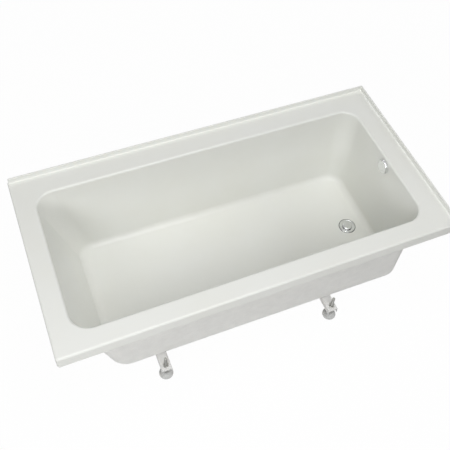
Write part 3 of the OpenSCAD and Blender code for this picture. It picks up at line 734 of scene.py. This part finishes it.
def hex_nut(flats, height, bore):
    """Hexagon nut with its corners chamfered, standing on z = 0."""
    across = flats / sqrt(3)
    prism = loft([[(across * cos(pi / 3 * i) * MM, across * sin(pi / 3 * i) * MM, z * MM)
                   for i in range(6)] for z in (0, height)])
    collar = spindle([(flats / 2 - 0.1, 0), (across + 0.4, 1.6), (across + 0.4, height - 1.6),
                      (flats / 2 - 0.1, height)], 60)
    cutter = spindle([(bore + 1, -1), (bore, 0.8), (bore, height - 0.8), (bore + 1, height + 1)], 40)
    return worked(prism, keeps=[collar], cuts=[cutter])


class BATH_OT_feet(Operator):
    """Roll the four threaded studs, cut their nuts and mould the ribbed rubber pads"""
    bl_idname = "bath.feet"
    bl_label = "Levelling feet"

    def execute(self, context):
        def ribs(r, z, a):
            return r - 0.7 * MM * max(0.0, cos(36 * a)) if r > 24 * MM and z > MM else r

        pad = spindle([
            (12, 0.6, 0.4), (13.5, 0, 0.4), (25.6, 0, 1), (28, 2.2, 1.2), (28, 6.4, 1.6),
            (15.4, 11.4, 2), (12.2, 13, 0.9), (6.15, 13, 0.3), (6.15, 5)], 144, swell=ribs)
        nut = hex_nut(19, NUT_HEIGHT, 6.08)
        nut_low, nut_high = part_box("foot_nuts")
        nuts = []
        for i, foot in enumerate(FEET):
            low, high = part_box("stud_" + foot)
            x, y, _ = middle("stud_" + foot)
            rod = threaded_rod((high.z - low.z) / MM, (high.x - low.x) / 2 / MM)
            piece("levelling_stud_" + foot, placed(rod, turned(90 * i, "Z"), at(x, y, low.z)), "zinc",
                  "stud_" + foot, body="foot_" + foot)
            piece("levelling_pad_" + foot, placed(pad, at(x, y, 0)), "foot_rubber", "pad_" + foot,
                  body="foot_" + foot)
            for z, spin in ((nut_low.z, 8 + 25 * i), (nut_high.z - NUT_HEIGHT * MM, 20 + 13 * i)):
                nuts.append(placed(nut, turned(spin, "Z"), at(x, y, z)))
        piece("levelling_nuts", together(*nuts), "zinc", "foot_nuts")
        return {"FINISHED"}


# Waste pipework, its sizes in millimetres

BRANCH_R, SOCKET_R, PIPE_BORE_R = 22.55, 19.15, 17
BEAD_R = BRANCH_R + 1.2
TUBE_WALL = 1.2
NUT_REACH = 8  # A union nut stands this far out beyond the end of its branch
SHOE_OUTLET_DROP = 29  # From the top of the shoe's flange down to the axis of its outlet
ELBOW_TURN = 26  # From the back of the elbow to the axis of its leg


def union_nut():
    """Lobed union nut over the end of a branch, which is at z = 0."""
    def lobes(r, z, a):
        grip = max(0.0, cos(8 * a)) ** 1.5 if z < 0.5 * MM else 0.0
        return r + 2.6 * MM * grip if r > 25 * MM else r
    return lathe([
        (22.65, -14, 0.5), (25.4, -14, 0.4), (26.2, -13, 0.6), (26.2, -0.6, 0.4), (26.2, 0.6, 0.3),
        (26, 6, 1.4), (24, NUT_REACH, 0.8), (19.65, NUT_REACH, 0.6), (19.65, 5), (22.65, 5)],
        160, swell=lobes)


def slip_washer():
    return lathe([
        (19.15, 0, 0.2), (22.35, 0, 0.3), (22.35, 3, 0.3), (20.65, 5, 0.3), (19.15, 5, 0.2)], 64)


def tee_place():
    """Where the axes of the tee's run and branch cross."""
    return middle("slip_nut_top")[0], MID_Y, middle("slip_nut_side")[2]


def union_steps():
    """For each open end of the tee, the matrices that put z = 0 on it and +Z out of it."""
    x, y, z = tee_place()
    side, top, bottom = (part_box("slip_nut_" + end) for end in ("side", "top", "bottom"))
    reach = NUT_REACH * MM
    return {"side": (turned(-90, "Y"), at(side[0].x + reach, y, z)),
            "top": (at(x, y, top[1].z - reach),),
            "bottom": (turned(180, "X"), at(x, y, bottom[0].z + reach))}


class BATH_OT_unions(Operator):
    """Mould the three lobed union nuts and their slip washers"""
    bl_idname = "bath.unions"
    bl_label = "Union nuts and washers"

    def execute(self, context):
        nut, washer, washers = union_nut(), slip_washer(), []
        for end, steps in union_steps().items():
            piece("union_nut_" + end, placed(nut, *steps), "pipe_plastic", "slip_nut_" + end)
            washers.append(placed(washer, *steps))
        piece("union_washers", together(*washers), "washer_plastic", "slip_washers")
        return {"FINISHED"}


def tube_piece(name, node, vertical):
    """Drawn tube that fills the box of its CAD node."""
    low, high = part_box(node)
    x, _, z = middle(node)
    span = ((high.z - low.z) if vertical else (high.x - low.x)) / MM
    r = (high.y - low.y) / 2 / MM
    tube = lathe([(r - TUBE_WALL, 0, 0.3), (r, 0, 0.5), (r, span, 0.5), (r - TUBE_WALL, span, 0.3)])
    steps = [at(x, MID_Y, low.z)] if vertical else [turned(90, "Y"), at(low.x, MID_Y, z)]
    piece(name, placed(tube, *steps), "tube_brass", node, material=brass(vertical))


def waste_tee():
    """Tee with thicker shoulders and a parting seam, its middle at the origin, its branch along -X."""
    shoulder = BRANCH_R + 1.65
    run = spindle([
        (BRANCH_R, -40, 0.8), (BRANCH_R, -24.2, 0.3), (shoulder, -22.4, 0.6), (shoulder, 23, 0.6),
        (BRANCH_R, 24.8, 0.3), (BRANCH_R, 45, 0.8)])
    side = spindle([
        (shoulder - 0.1, 0), (shoulder - 0.1, 25.5, 0.6), (BRANCH_R, 27.3, 0.3), (BRANCH_R, 48, 0.8)])
    seam = block((-29, -0.35, -21), (shoulder + 0.45, 0.35, 22))
    run_bore = spindle([
        (SOCKET_R, -41), (SOCKET_R, -21), (PIPE_BORE_R, -21), (PIPE_BORE_R, 26),
        (SOCKET_R, 26), (SOCKET_R, 46)])
    side_bore = spindle([
        (PIPE_BORE_R - 0.1, 0), (PIPE_BORE_R - 0.1, 29), (SOCKET_R, 29), (SOCKET_R, 49)])
    out = turned(-90, "Y")
    return worked(run, joins=[placed(side, out), seam], cuts=[run_bore, placed(side_bore, out)])


def drain_shoe():
    """Elbow under the drain, with ribs below its flange, the top of the flange at z = 0."""
    body = spindle([(26.98, -50, 5), (26.98, -4, 0.5), (34, -4, 0.6), (34, 0, 0.4)])
    outlet = spindle([(BRANCH_R, 0), (BRANCH_R, 41.5, 0.3), (BEAD_R, 42.3, 0.4), (BEAD_R, 46, 0.6)])
    side = ((25, -18), (33.3, -5.5), (33.3, -3), (25, -3))
    rib = solid([(x * MM, y * MM, z * MM) for y in (-1.2, 1.2) for x, z in side],
                [(0, 1, 2, 3), (7, 6, 5, 4), (0, 4, 5, 1), (1, 5, 6, 2), (2, 6, 7, 3), (3, 7, 4, 0)])
    ribs = [placed(rib, turned(30 + 60 * i, "Z")) for i in range(6)]
    throat = spindle([(19, -46), (19, -12.8), (22.98, -12.8), (22.98, 1)])
    bore = spindle([(PIPE_BORE_R, 0), (PIPE_BORE_R, 26), (SOCKET_R, 26), (SOCKET_R, 47)])
    steps = turned(90, "Y"), at(0, 0, -SHOE_OUTLET_DROP * MM)
    return worked(body, joins=[placed(outlet, *steps)] + ribs, cuts=[throat, placed(bore, *steps)])


def overflow_elbow(reach, neck):
    """Elbow behind the overflow: a body along X from 0 to reach, its flange at neck, and a leg down."""
    body = spindle([
        (24, 0, 0.6), (24, neck, 0.3), (31, neck, 0.5), (31, neck + 4, 0.6), (24, neck + 4, 0.4),
        (24, reach, 6)])
    leg = spindle([(BEAD_R, -42, 0.6), (BEAD_R, -38.3, 0.4), (BRANCH_R, -37.5, 0.3), (BRANCH_R, 0)])
    bore = spindle([(20, -1), (20, reach - 3, 3)])
    leg_bore = spindle([(SOCKET_R, -43), (SOCKET_R, -23), (PIPE_BORE_R, -23), (PIPE_BORE_R, 0)])
    out, back = turned(90, "Y"), at((reach - ELBOW_TURN) * MM, 0, 0)
    return worked(placed(body, out), joins=[placed(leg, back)],
                  cuts=[placed(bore, out), placed(leg_bore, back)])


class BATH_OT_pipes(Operator):
    """Draw the two brass tubes and mould the tee, the drain shoe, the elbow and the shoe's washer"""
    bl_idname = "bath.pipes"
    bl_label = "Waste pipes"

    def execute(self, context):
        tube_piece("waste_tube_side", "shoe_tube", False)
        tube_piece("waste_tube_upright", "overflow_tube", True)
        piece("tee_fitting", placed(waste_tee(), at(*tee_place())), "pipe_plastic", "waste_tee")
        shoe = at_drain(drain_shoe(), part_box("drain_shoe")[1].z)
        piece("shoe_fitting", shoe, "pipe_plastic", "drain_shoe")
        low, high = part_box("overflow_elbow")
        elbow = overflow_elbow((high.x - low.x) / MM, (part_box("overflow_gasket")[1].x - low.x) / MM)
        height = overflow_height(context.scene.bath_shell)
        piece("elbow_fitting", placed(elbow, at(low.x, MID_Y, height)), "pipe_plastic",
              "overflow_elbow")
        low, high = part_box("drain_shoe_washer")
        thick = (high.z - low.z) / MM
        washer = lathe([(23.3, 0, 0.6), (33.9, 0, 0.8), (33.9, thick, 0.8), (23.3, thick, 0.6)])
        piece("shoe_gasket", at_drain(washer, low.z), "seal_rubber", "drain_shoe_washer")
        return {"FINISHED"}


# Shader effects shared by the finishes

def put(socket, value):
    """Links an output to a socket, or sets the socket's own value."""
    if isinstance(value, bpy.types.NodeSocket):
        socket.id_data.links.new(value, socket)
    elif hasattr(value, "__len__") and socket.type == "RGBA" and len(value) == 3:
        socket.default_value = (*value, 1.0)
    else:
        socket.default_value = value


def node(tree, kind, inputs=None, **settings):
    made = tree.nodes.new("ShaderNode" + kind)
    for key, value in settings.items():
        setattr(made, key, value)
    for key, value in (inputs or {}).items():
        put(made.inputs[key], value)
    return made


def noise_at(tree, vector, scale, detail=2.0, rough=0.5):
    return node(tree, "TexNoise", {
        "Vector": vector, "Scale": scale, "Detail": detail, "Roughness": rough}).outputs[0]


def stretched(tree, vector, scale, turn=(0, 0, 0)):
    """The vector scaled along each axis, after a turn given in degrees."""
    if any(turn):
        vector = node(tree, "VectorRotate", {"Vector": vector, "Rotation": [radians(v) for v in turn]},
                      rotation_type="EULER_XYZ").outputs[0]
    return node(tree, "VectorMath", {0: vector, 1: scale}, operation="MULTIPLY").outputs[0]


def ramp(tree, value, low, high, to_low=0.0, to_high=1.0):
    """The value's range low to high spread over to_low to to_high, and held beyond."""
    return node(tree, "MapRange", {0: value, 1: low, 2: high, 3: to_low, 4: to_high}).outputs[0]


def maths(tree, operation, a, b=0.0):
    return node(tree, "Math", {0: a, 1: b}, operation=operation).outputs[0]


def add(tree, a, b):
    return maths(tree, "ADD", a, b)


def times(tree, a, b):
    return maths(tree, "MULTIPLY", a, b)


def blend_colour(tree, factor, a, b):
    return node(tree, "Mix", {0: factor, 6: a, 7: b}, data_type="RGBA").outputs[2]


def effect(name, build, inputs, outputs=("Colour", "Roughness", "Height")):
    """A shader node group, made once. A default of four numbers makes a colour, three make a
    vector and one makes a value."""
    tree = bpy.data.node_groups.get(name)
    if tree:
        return tree
    tree = bpy.data.node_groups.new(name, "ShaderNodeTree")
    kinds = {1: "NodeSocketFloat", 3: "NodeSocketVector", 4: "NodeSocketColor"}
    for label, value in {"Vector": (0.0, 0.0, 0.0), **inputs}.items():
        kind = kinds[len(value) if isinstance(value, tuple) else 1]
        tree.interface.new_socket(name=label, in_out="INPUT", socket_type=kind).default_value = value
    for label in outputs:
        tree.interface.new_socket(
            name=label, in_out="OUTPUT", socket_type=kinds[4 if label == "Colour" else 1])
    entry, leave = tree.nodes.new("NodeGroupInput"), tree.nodes.new("NodeGroupOutput")
    for label, value in build(tree, entry.outputs).items():
        put(leave.inputs[label], value)
    return tree


def clouded():
    """Colour and gloss that drift a little over the surface, with a slow ripple and a fine peel."""
    def build(tree, given):
        where = given["Vector"]
        drift = noise_at(tree, where, given["Drift Scale"], 3.0)
        fine = noise_at(tree, where, given["Grain Scale"])
        patches = maths(tree, "SUBTRACT", noise_at(tree, where, 31.0, 4.0), 0.5)
        share = ramp(tree, drift, 0.3, 0.7)
        return {
            "Colour": blend_colour(tree, share, given["Colour"], given["Second Colour"]),
            "Roughness": add(tree, given["Roughness"], times(tree, patches, given["Roughness Spread"])),
            "Height": add(tree, times(tree, drift, given["Ripple"]), times(tree, fine, 0.1))}
    return effect("Clouded plastic", build, {
        "Colour": (0.8, 0.8, 0.8, 1), "Second Colour": (0.7, 0.7, 0.7, 1), "Drift Scale": 6.0,
        "Grain Scale": 900.0, "Roughness": 0.3, "Roughness Spread": 0.05, "Ripple": 1.0})


def strands():
    """Chopped glass strands lying in resin, in six directions."""
    turns = ((0, 0, 0), (0, 55, 0), (0, -50, 20), (90, 0, 30), (0, 90, 0), (30, 0, 75))

    def build(tree, given):
        where, layers = given["Vector"], 0.0
        for i, turn in enumerate(turns):
            shifted = node(tree, "VectorMath", {0: where, 1: (i * 3.1, i * 1.7, i * 0.9)},
                           operation="ADD").outputs[0]
            run = noise_at(tree, stretched(tree, shifted, (9, 260, 260), turn), 1.0, 1.0)
            off = maths(tree, "ABSOLUTE", maths(tree, "SUBTRACT", run, 0.5))
            layers = maths(tree, "MAXIMUM", layers, ramp(tree, off, 0.0, 0.035, 1.0, 0.0))
        lumps = noise_at(tree, where, 38.0, 4.0)
        laid = blend_colour(tree, times(tree, layers, 0.75), given["Resin"], given["Strand"])
        pools = times(tree, ramp(tree, lumps, 0.35, 0.7), 0.35)
        return {"Colour": blend_colour(tree, pools, laid, given["Pooled Resin"]),
                "Roughness": ramp(tree, lumps, 0.3, 0.7, 0.62, 0.38),
                "Height": add(tree, times(tree, layers, 0.35), lumps)}
    return effect("Glass strands", build, {
        "Resin": (0.6, 0.6, 0.5, 1), "Strand": (0.8, 0.8, 0.7, 1),
        "Pooled Resin": (0.5, 0.48, 0.36, 1)})


def grain():
    """Wood grain along the vector's X axis, with fibres and a few darker streaks."""
    def build(tree, given):
        where = given["Vector"]
        bend = noise_at(tree, stretched(tree, where, (1.2, 9, 9)), 1.0, 3.0)
        bands = node(tree, "TexWave", {
            "Vector": stretched(tree, where, (1.5, 30, 30)), "Scale": given["Ring Scale"],
            "Distortion": 3.5, "Detail": 2.0, "Detail Scale": 0.8},
            wave_type="RINGS", rings_direction="X").outputs[1]
        fibre = noise_at(tree, stretched(tree, where, (30, 900, 900)), 1.0, 3.0, 0.65)
        mask = add(tree, times(tree, bands, 0.45),
                   add(tree, times(tree, bend, 0.35), times(tree, fibre, 0.3)))
        return {"Colour": blend_colour(tree, ramp(tree, mask, 0.3, 0.8), given["Light"], given["Dark"]),
                "Roughness": ramp(tree, fibre, 0.3, 0.7, 0.62, 0.8), "Height": mask}
    return effect("Wood grain", build, {
        "Light": (0.6, 0.45, 0.3, 1), "Dark": (0.4, 0.28, 0.16, 1), "Ring Scale": 1.0})


def drawn():
    """Fine lines left by drawing or polishing, stretched by the Stretch vector, with dull stains."""
    def build(tree, given):
        lines = noise_at(tree, stretched(tree, given["Vector"], given["Stretch"]), 1.0, 3.0, 0.7)
        stain = noise_at(tree, given["Vector"], 24.0, 4.0)
        mask = times(tree, ramp(tree, stain, 0.45, 0.75), given["Stain"])
        uneven = add(tree, maths(tree, "SUBTRACT", lines, 0.5), times(tree, mask, 0.5))
        return {"Colour": blend_colour(tree, mask, given["Colour"], given["Stain Colour"]),
                "Roughness": add(tree, given["Roughness"], times(tree, uneven, 0.22)), "Height": lines}
    return effect("Drawn lines", build, {
        "Stretch": (30.0, 1500.0, 1500.0), "Colour": (0.7, 0.7, 0.7, 1),
        "Stain Colour": (0.4, 0.3, 0.2, 1), "Stain": 0.3, "Roughness": 0.2})


def edge_wear():
    """Mixes a rubbed colour in along outward edges, broken up by noise."""
    def build(tree, given):
        edge = ramp(tree, node(tree, "NewGeometry").outputs["Pointiness"], 0.52, 0.6)
        patch = ramp(tree, noise_at(tree, given["Vector"], 160.0, 3.0), 0.42, 0.6)
        mask = times(tree, times(tree, edge, patch), given["Amount"])
        return {"Colour": blend_colour(tree, mask, given["Colour"], given["Rubbed Colour"])}
    return effect("Edge wear", build, {
        "Colour": (0.5, 0.5, 0.5, 1), "Rubbed Colour": (0.7, 0.7, 0.7, 1), "Amount": 0.5}, ["Colour"])


# Finishes

def tone(name):
    """One of the user's colours."""
    return getattr(bpy.context.scene.bath_colours, name)


def shade(values, factor):
    """A colour darkened or lightened by one factor, or by one for each channel."""
    factors = factor if isinstance(factor, tuple) else (factor,) * 3
    return [v * f for v, f in zip(values, factors)]


def finish(name, build, metallic=0.0, bump=0.2, reach=0.3, **constants):
    """A material whose colour, roughness and height come from build(tree, where)."""
    made = bpy.data.materials.get(name)
    if made:
        return made
    made = bpy.data.materials.new(name)
    made.use_nodes = True
    tree = made.node_tree
    shader = tree.nodes["Principled BSDF"]
    results = build(tree, node(tree, "TexCoord").outputs["Object"])
    relief = node(tree, "Bump", {"Strength": bump, "Distance": reach * MM, "Height": results["Height"]})
    put(shader.inputs["Base Color"], results["Colour"])
    put(shader.inputs["Roughness"], results["Roughness"])
    put(shader.inputs["Normal"], relief.outputs[0])
    put(shader.inputs["Metallic"], metallic)
    for key, value in constants.items():
        put(shader.inputs[key.replace("_", " ")], value)
    return made


def use(tree, group, **inputs):
    """The outputs of a shader effect by name, its inputs given with _ for each space."""
    made = tree.nodes.new("ShaderNodeGroup")
    made.node_tree = group
    for key, value in inputs.items():
        put(made.inputs[key.replace("_", " ")], value)
    return {out.name: out for out in made.outputs}


def plastic(name, colour_name, second, rough, spread, drift, fine, ripple=1.0, rubbed=None, **more):
    """Plastic, rubber, foam or paint; second and rubbed are shades of its colour."""
    base = tone(colour_name)

    def build(tree, where):
        results = use(tree, clouded(), Vector=where, Colour=base, Second_Colour=shade(base, second),
                      Roughness=rough, Roughness_Spread=spread, Ripple=ripple, Drift_Scale=drift,
                      Grain_Scale=fine)
        if rubbed:
            results["Colour"] = use(tree, edge_wear(), Vector=where, Colour=results["Colour"],
                                    Rubbed_Colour=shade(base, rubbed), Amount=0.5)["Colour"]
        return results
    return finish(name, build, **more)


def fibreglass():
    def build(tree, where):
        resin = tone("resin")
        return use(tree, strands(), Vector=where, Resin=resin, Strand=tone("strand"),
                   Pooled_Resin=shade(resin, 0.86))
    return finish("raw laminate", build, bump=0.7, reach=0.8, IOR=1.52)


PLY_PAIR = 4.6 * MM  # Thickness of two plies, one light and one dark on the board's sides


def wood(name, light, dark, turn, rings, layers=False):
    """Wood whose grain runs along X turned by so many degrees, with plies on its sides if layered."""
    def build(tree, where):
        along = stretched(tree, where, (1, 1, 1), (0, 0, turn)) if turn else where
        results = use(tree, grain(), Vector=along, Light=light, Dark=dark, Ring_Scale=rings)
        if layers:
            height = node(tree, "SeparateXYZ", {0: where}).outputs[2]
            wave = maths(tree, "SINE", times(tree, height, 2 * pi / PLY_PAIR))
            plies = maths(tree, "GREATER_THAN", wave, 0.0)
            normal = node(tree, "NewGeometry").outputs["Normal"]
            upright = maths(tree, "ABSOLUTE", node(tree, "SeparateXYZ", {0: normal}).outputs[2])
            edge = blend_colour(tree, times(tree, plies, 0.55), results["Colour"], shade(dark, 0.55))
            results["Colour"] = blend_colour(
                tree, maths(tree, "LESS_THAN", upright, 0.5), results["Colour"], edge)
        return results
    return finish(name, build, bump=0.35, reach=0.4)


def pine(along_x):
    return wood("sawn pine along the length" if along_x else "sawn pine across the ends",
                tone("pine_light"), tone("pine_dark"), 0 if along_x else 90, 0.6)


def metal(name, colour_name, stain_shade, stain, rough, stretch, bump=0.04):
    def build(tree, where):
        base = tone(colour_name)
        return use(tree, drawn(), Vector=where, Stretch=stretch, Colour=base,
                   Stain_Colour=shade(base, stain_shade), Stain=stain, Roughness=rough)
    return finish(name, build, metallic=1.0, bump=bump, reach=0.05)


def brass(vertical):
    return metal("drawn brass upright" if vertical else "drawn brass level", "brass", 0.45, 0.5, 0.26,
                 (1500.0, 1500.0, 25.0) if vertical else (25.0, 1500.0, 1500.0))


# The finish of each material slot; the battens and the brass tubes choose theirs by their direction
FINISHES = {
    "acrylic": lambda: plastic(
        "gloss acrylic", "acrylic", (0.985, 0.982, 0.968), 0.24, 0.04, 5.0, 1400.0, bump=0.12,
        reach=0.35, IOR=1.49, Specular_IOR_Level=0.3, Coat_Weight=0.08, Coat_Roughness=0.1),
    "fibreglass": fibreglass,
    "foam": lambda: plastic(
        "rigid foam", "foam", 0.82, 0.85, 0.1, 60.0, 700.0, ripple=1.5, bump=0.8, reach=1.2),
    "board": lambda: wood("plywood board", tone("ply_light"), tone("ply_dark"), 0, 0.25, layers=True),
    "rail_steel": lambda: plastic(
        "white powder coat", "powder", 0.97, 0.42, 0.1, 18.0, 1100.0, ripple=0.6, bump=0.25,
        reach=0.15, rubbed=0.8),
    "zinc": lambda: metal("bright zinc plating", "plated", 0.55, 0.45, 0.34, (120.0, 120.0, 900.0)),
    "foot_rubber": lambda: plastic(
        "foot rubber", "foot_rubber", 0.88, 0.66, 0.16, 30.0, 1600.0, bump=0.4, reach=0.25,
        rubbed=1.15),
    "seal_rubber": lambda: plastic(
        "seal rubber", "seal_rubber", 1.4, 0.55, 0.12, 45.0, 2400.0, bump=0.3, reach=0.15),
    "chrome": lambda: metal("polished chrome", "chrome", 0.8, 0.15, 0.09, (160.0,) * 3, bump=0.01),
    "stopper_metal": lambda: metal("turned brass", "stopper", 0.5, 0.35, 0.28, (60.0, 60.0, 2600.0)),
    "pipe_plastic": lambda: plastic(
        "moulded pipe plastic", "pipe", 1.18, 0.36, 0.1, 22.0, 1500.0, bump=0.3, reach=0.2, rubbed=1.9),
    "washer_plastic": lambda: plastic(
        "washer plastic", "washer", 0.93, 0.42, 0.08, 40.0, 1800.0, bump=0.2, reach=0.1),
}


# Stage

# Where the camera stands, in metres, and how it is turned, in degrees
CAMERA_PLACE = (-0.696, -1.404, 2.645)
CAMERA_AZIMUTH, CAMERA_HEIGHT, CAMERA_ROLL = -26.92, 51.64, 5.52
SENSOR, LENS, SHIFT_X, SHIFT_Y = 36.0, 56.09, -0.0311, -0.1

FLOOR_GLOW = 0.975  # Share of white glow that the camera and reflections see on the floor

# Soft square lamps: name, watts, place, what it faces and side length, in metres
LAMPS = [
    ("overhead lamp", 34.0, (0.1, -0.2, 4.0), (0.1, 0, 0.3), 2.0),
    ("high front lamp", 54.0, (0, -2.0, 3.8), (0, 0, 0.3), 2.0),
    ("front left lamp", 54.0, (-2.2, -3.0, 2.4), (-0.2, 0, 0.4), 1.6),
    ("near left lamp", 11.0, (-2.2, -1.4, 2.2), (-0.2, 0, 0.4), 1.2),
    ("drain end lamp", 36.0, (4.2, -0.5, 3.1), (0, 0, 0.4), 2.0),
    ("back right lamp", 16.0, (3.0, 3.0, 2.2), (0, 0, 0.3), 2.0),
    ("back left lamp", 26.0, (-3.0, 3.0, 2.2), (0, 0, 0.3), 2.0),
]


def stand(context, name, data):
    """A new object of the scene that holds the data."""
    thing = bpy.data.objects.new(name, data)
    context.scene.collection.objects.link(thing)
    return thing


def camera(context):
    a, e, r = (radians(v) for v in (CAMERA_AZIMUTH, CAMERA_HEIGHT, CAMERA_ROLL))
    right = Vector((cos(a), sin(a), 0))
    back = Vector((sin(a) * cos(e), -cos(a) * cos(e), sin(e)))
    up = back.cross(right)
    side, top = cos(r) * right + sin(r) * up, cos(r) * up - sin(r) * right
    data = bpy.data.cameras.new("photo view")
    data.sensor_width, data.lens = SENSOR, LENS
    data.shift_x, data.shift_y = SHIFT_X, SHIFT_Y
    data.clip_start, data.clip_end = 0.05, 60
    thing = stand(context, "photo view", data)
    facing = Matrix((side, top, back)).transposed().to_4x4()
    thing.matrix_world = Matrix.Translation(CAMERA_PLACE) @ facing
    context.scene.camera = thing


def lamp(context, name, power, place, target, size):
    data = bpy.data.lights.new(name, "AREA")
    data.shape, data.size, data.energy = "SQUARE", size, power
    thing = stand(context, name, data)
    thing.location = place
    thing.rotation_mode = "QUATERNION"
    thing.rotation_quaternion = (Vector(target) - Vector(place)).to_track_quat("-Z", "Y")
    thing.visible_camera = False


def pale_floor(stage):
    """Pale floor that the camera sees nearly white, with faint shadows, and reflections see even."""
    made = bpy.data.materials.new("studio floor")
    made.use_nodes = True
    tree = made.node_tree
    shader = tree.nodes["Principled BSDF"]
    drift = noise_at(tree, node(tree, "TexCoord").outputs["Object"], 1.5, 3.0)
    put(shader.inputs["Base Color"], blend_colour(
        tree, times(tree, drift, 0.2), stage.floor_colour, shade(stage.floor_colour, 0.97)))
    put(shader.inputs["Roughness"], 0.9)
    path = node(tree, "LightPath").outputs
    level = ramp(tree, path["Is Glossy Ray"], 0.0, 1.0, 1.0, stage.mirrored)
    glow = node(tree, "Emission", {"Color": (1, 1, 1), "Strength": level}).outputs[0]
    seen = path["Is Camera Ray"]
    for ray in ("Is Glossy Ray", "Is Transmission Ray"):
        seen = maths(tree, "MAXIMUM", seen, path[ray])
    mixed = node(tree, "MixShader", {0: times(tree, seen, FLOOR_GLOW), 1: shader.outputs[0], 2: glow})
    put(tree.nodes["Material Output"].inputs[0], mixed.outputs[0])
    return made


class BATH_OT_stage(Operator):
    """Lay the pale floor, hang the soft lamps and stand the camera at the photograph's angle"""
    bl_idname = "bath.stage"
    bl_label = "Stage, lamps and camera"

    def execute(self, context):
        stage = context.scene.bath_stage
        shape = bmesh.new()
        bmesh.ops.create_grid(shape, x_segments=8, y_segments=8, size=20.0)
        mesh = meshed(shape, "studio_floor")
        mesh.materials.append(pale_floor(stage))
        floor = stand(context, "studio_floor", mesh)
        floor.location.z = -0.2 * MM
        for name, power, place, target, size in LAMPS:
            lamp(context, name, power * stage.lamps, place, target, size)
        world = bpy.data.worlds.new("studio room")
        world.use_nodes = True
        tree = world.node_tree
        sky = tree.nodes["Background"]
        put(sky.inputs["Color"], (1, 1, 1))
        path = node(tree, "LightPath").outputs
        lit = ramp(tree, path["Is Glossy Ray"], 0.0, 1.0, stage.sky, stage.mirrored)
        seen = maths(tree, "MAXIMUM", path["Is Camera Ray"], path["Is Transmission Ray"])
        put(sky.inputs["Strength"], ramp(tree, seen, 0.0, 1.0, lit, 1.0))
        context.scene.world = world
        context.scene.view_settings.view_transform = "Standard"
        camera(context)
        return {"FINISHED"}


class BATH_PT_panel(Panel):
    bl_label = "Bathtub"
    bl_space_type = "VIEW_3D"
    bl_region_type = "UI"
    bl_category = "Bathtub"

    def draw(self, context):
        for operator in OPERATORS:
            self.layout.operator(operator.bl_idname)
        for group in GROUPS:
            box = self.layout.box()
            settings = getattr(context.scene, group)
            for name in settings.bl_rna.properties.keys():
                if name not in ("rna_type", "name"):
                    box.prop(settings, name)


OPERATORS = [
    BATH_OT_shell, BATH_OT_backing, BATH_OT_drain, BATH_OT_stopper, BATH_OT_overflow, BATH_OT_timber,
    BATH_OT_foam, BATH_OT_cradle, BATH_OT_feet, BATH_OT_unions, BATH_OT_pipes, BATH_OT_stage]
GROUPS = {"bath_shell": BathShellSizes, "bath_colours": BathColours, "bath_stage": BathStage}


def register():
    for made in [*GROUPS.values(), *OPERATORS, BATH_PT_panel]:
        bpy.utils.register_class(made)
    for name, group in GROUPS.items():
        setattr(bpy.types.Scene, name, PointerProperty(type=group))


def unregister():
    for name in GROUPS:
        delattr(bpy.types.Scene, name)
    for made in reversed([*GROUPS.values(), *OPERATORS, BATH_PT_panel]):
        bpy.utils.unregister_class(made)


def main():
    register()
    for operator in OPERATORS:
        family, name = operator.bl_idname.split(".")
        getattr(getattr(bpy.ops, family), name)()


if __name__ == "__main__":
    main()
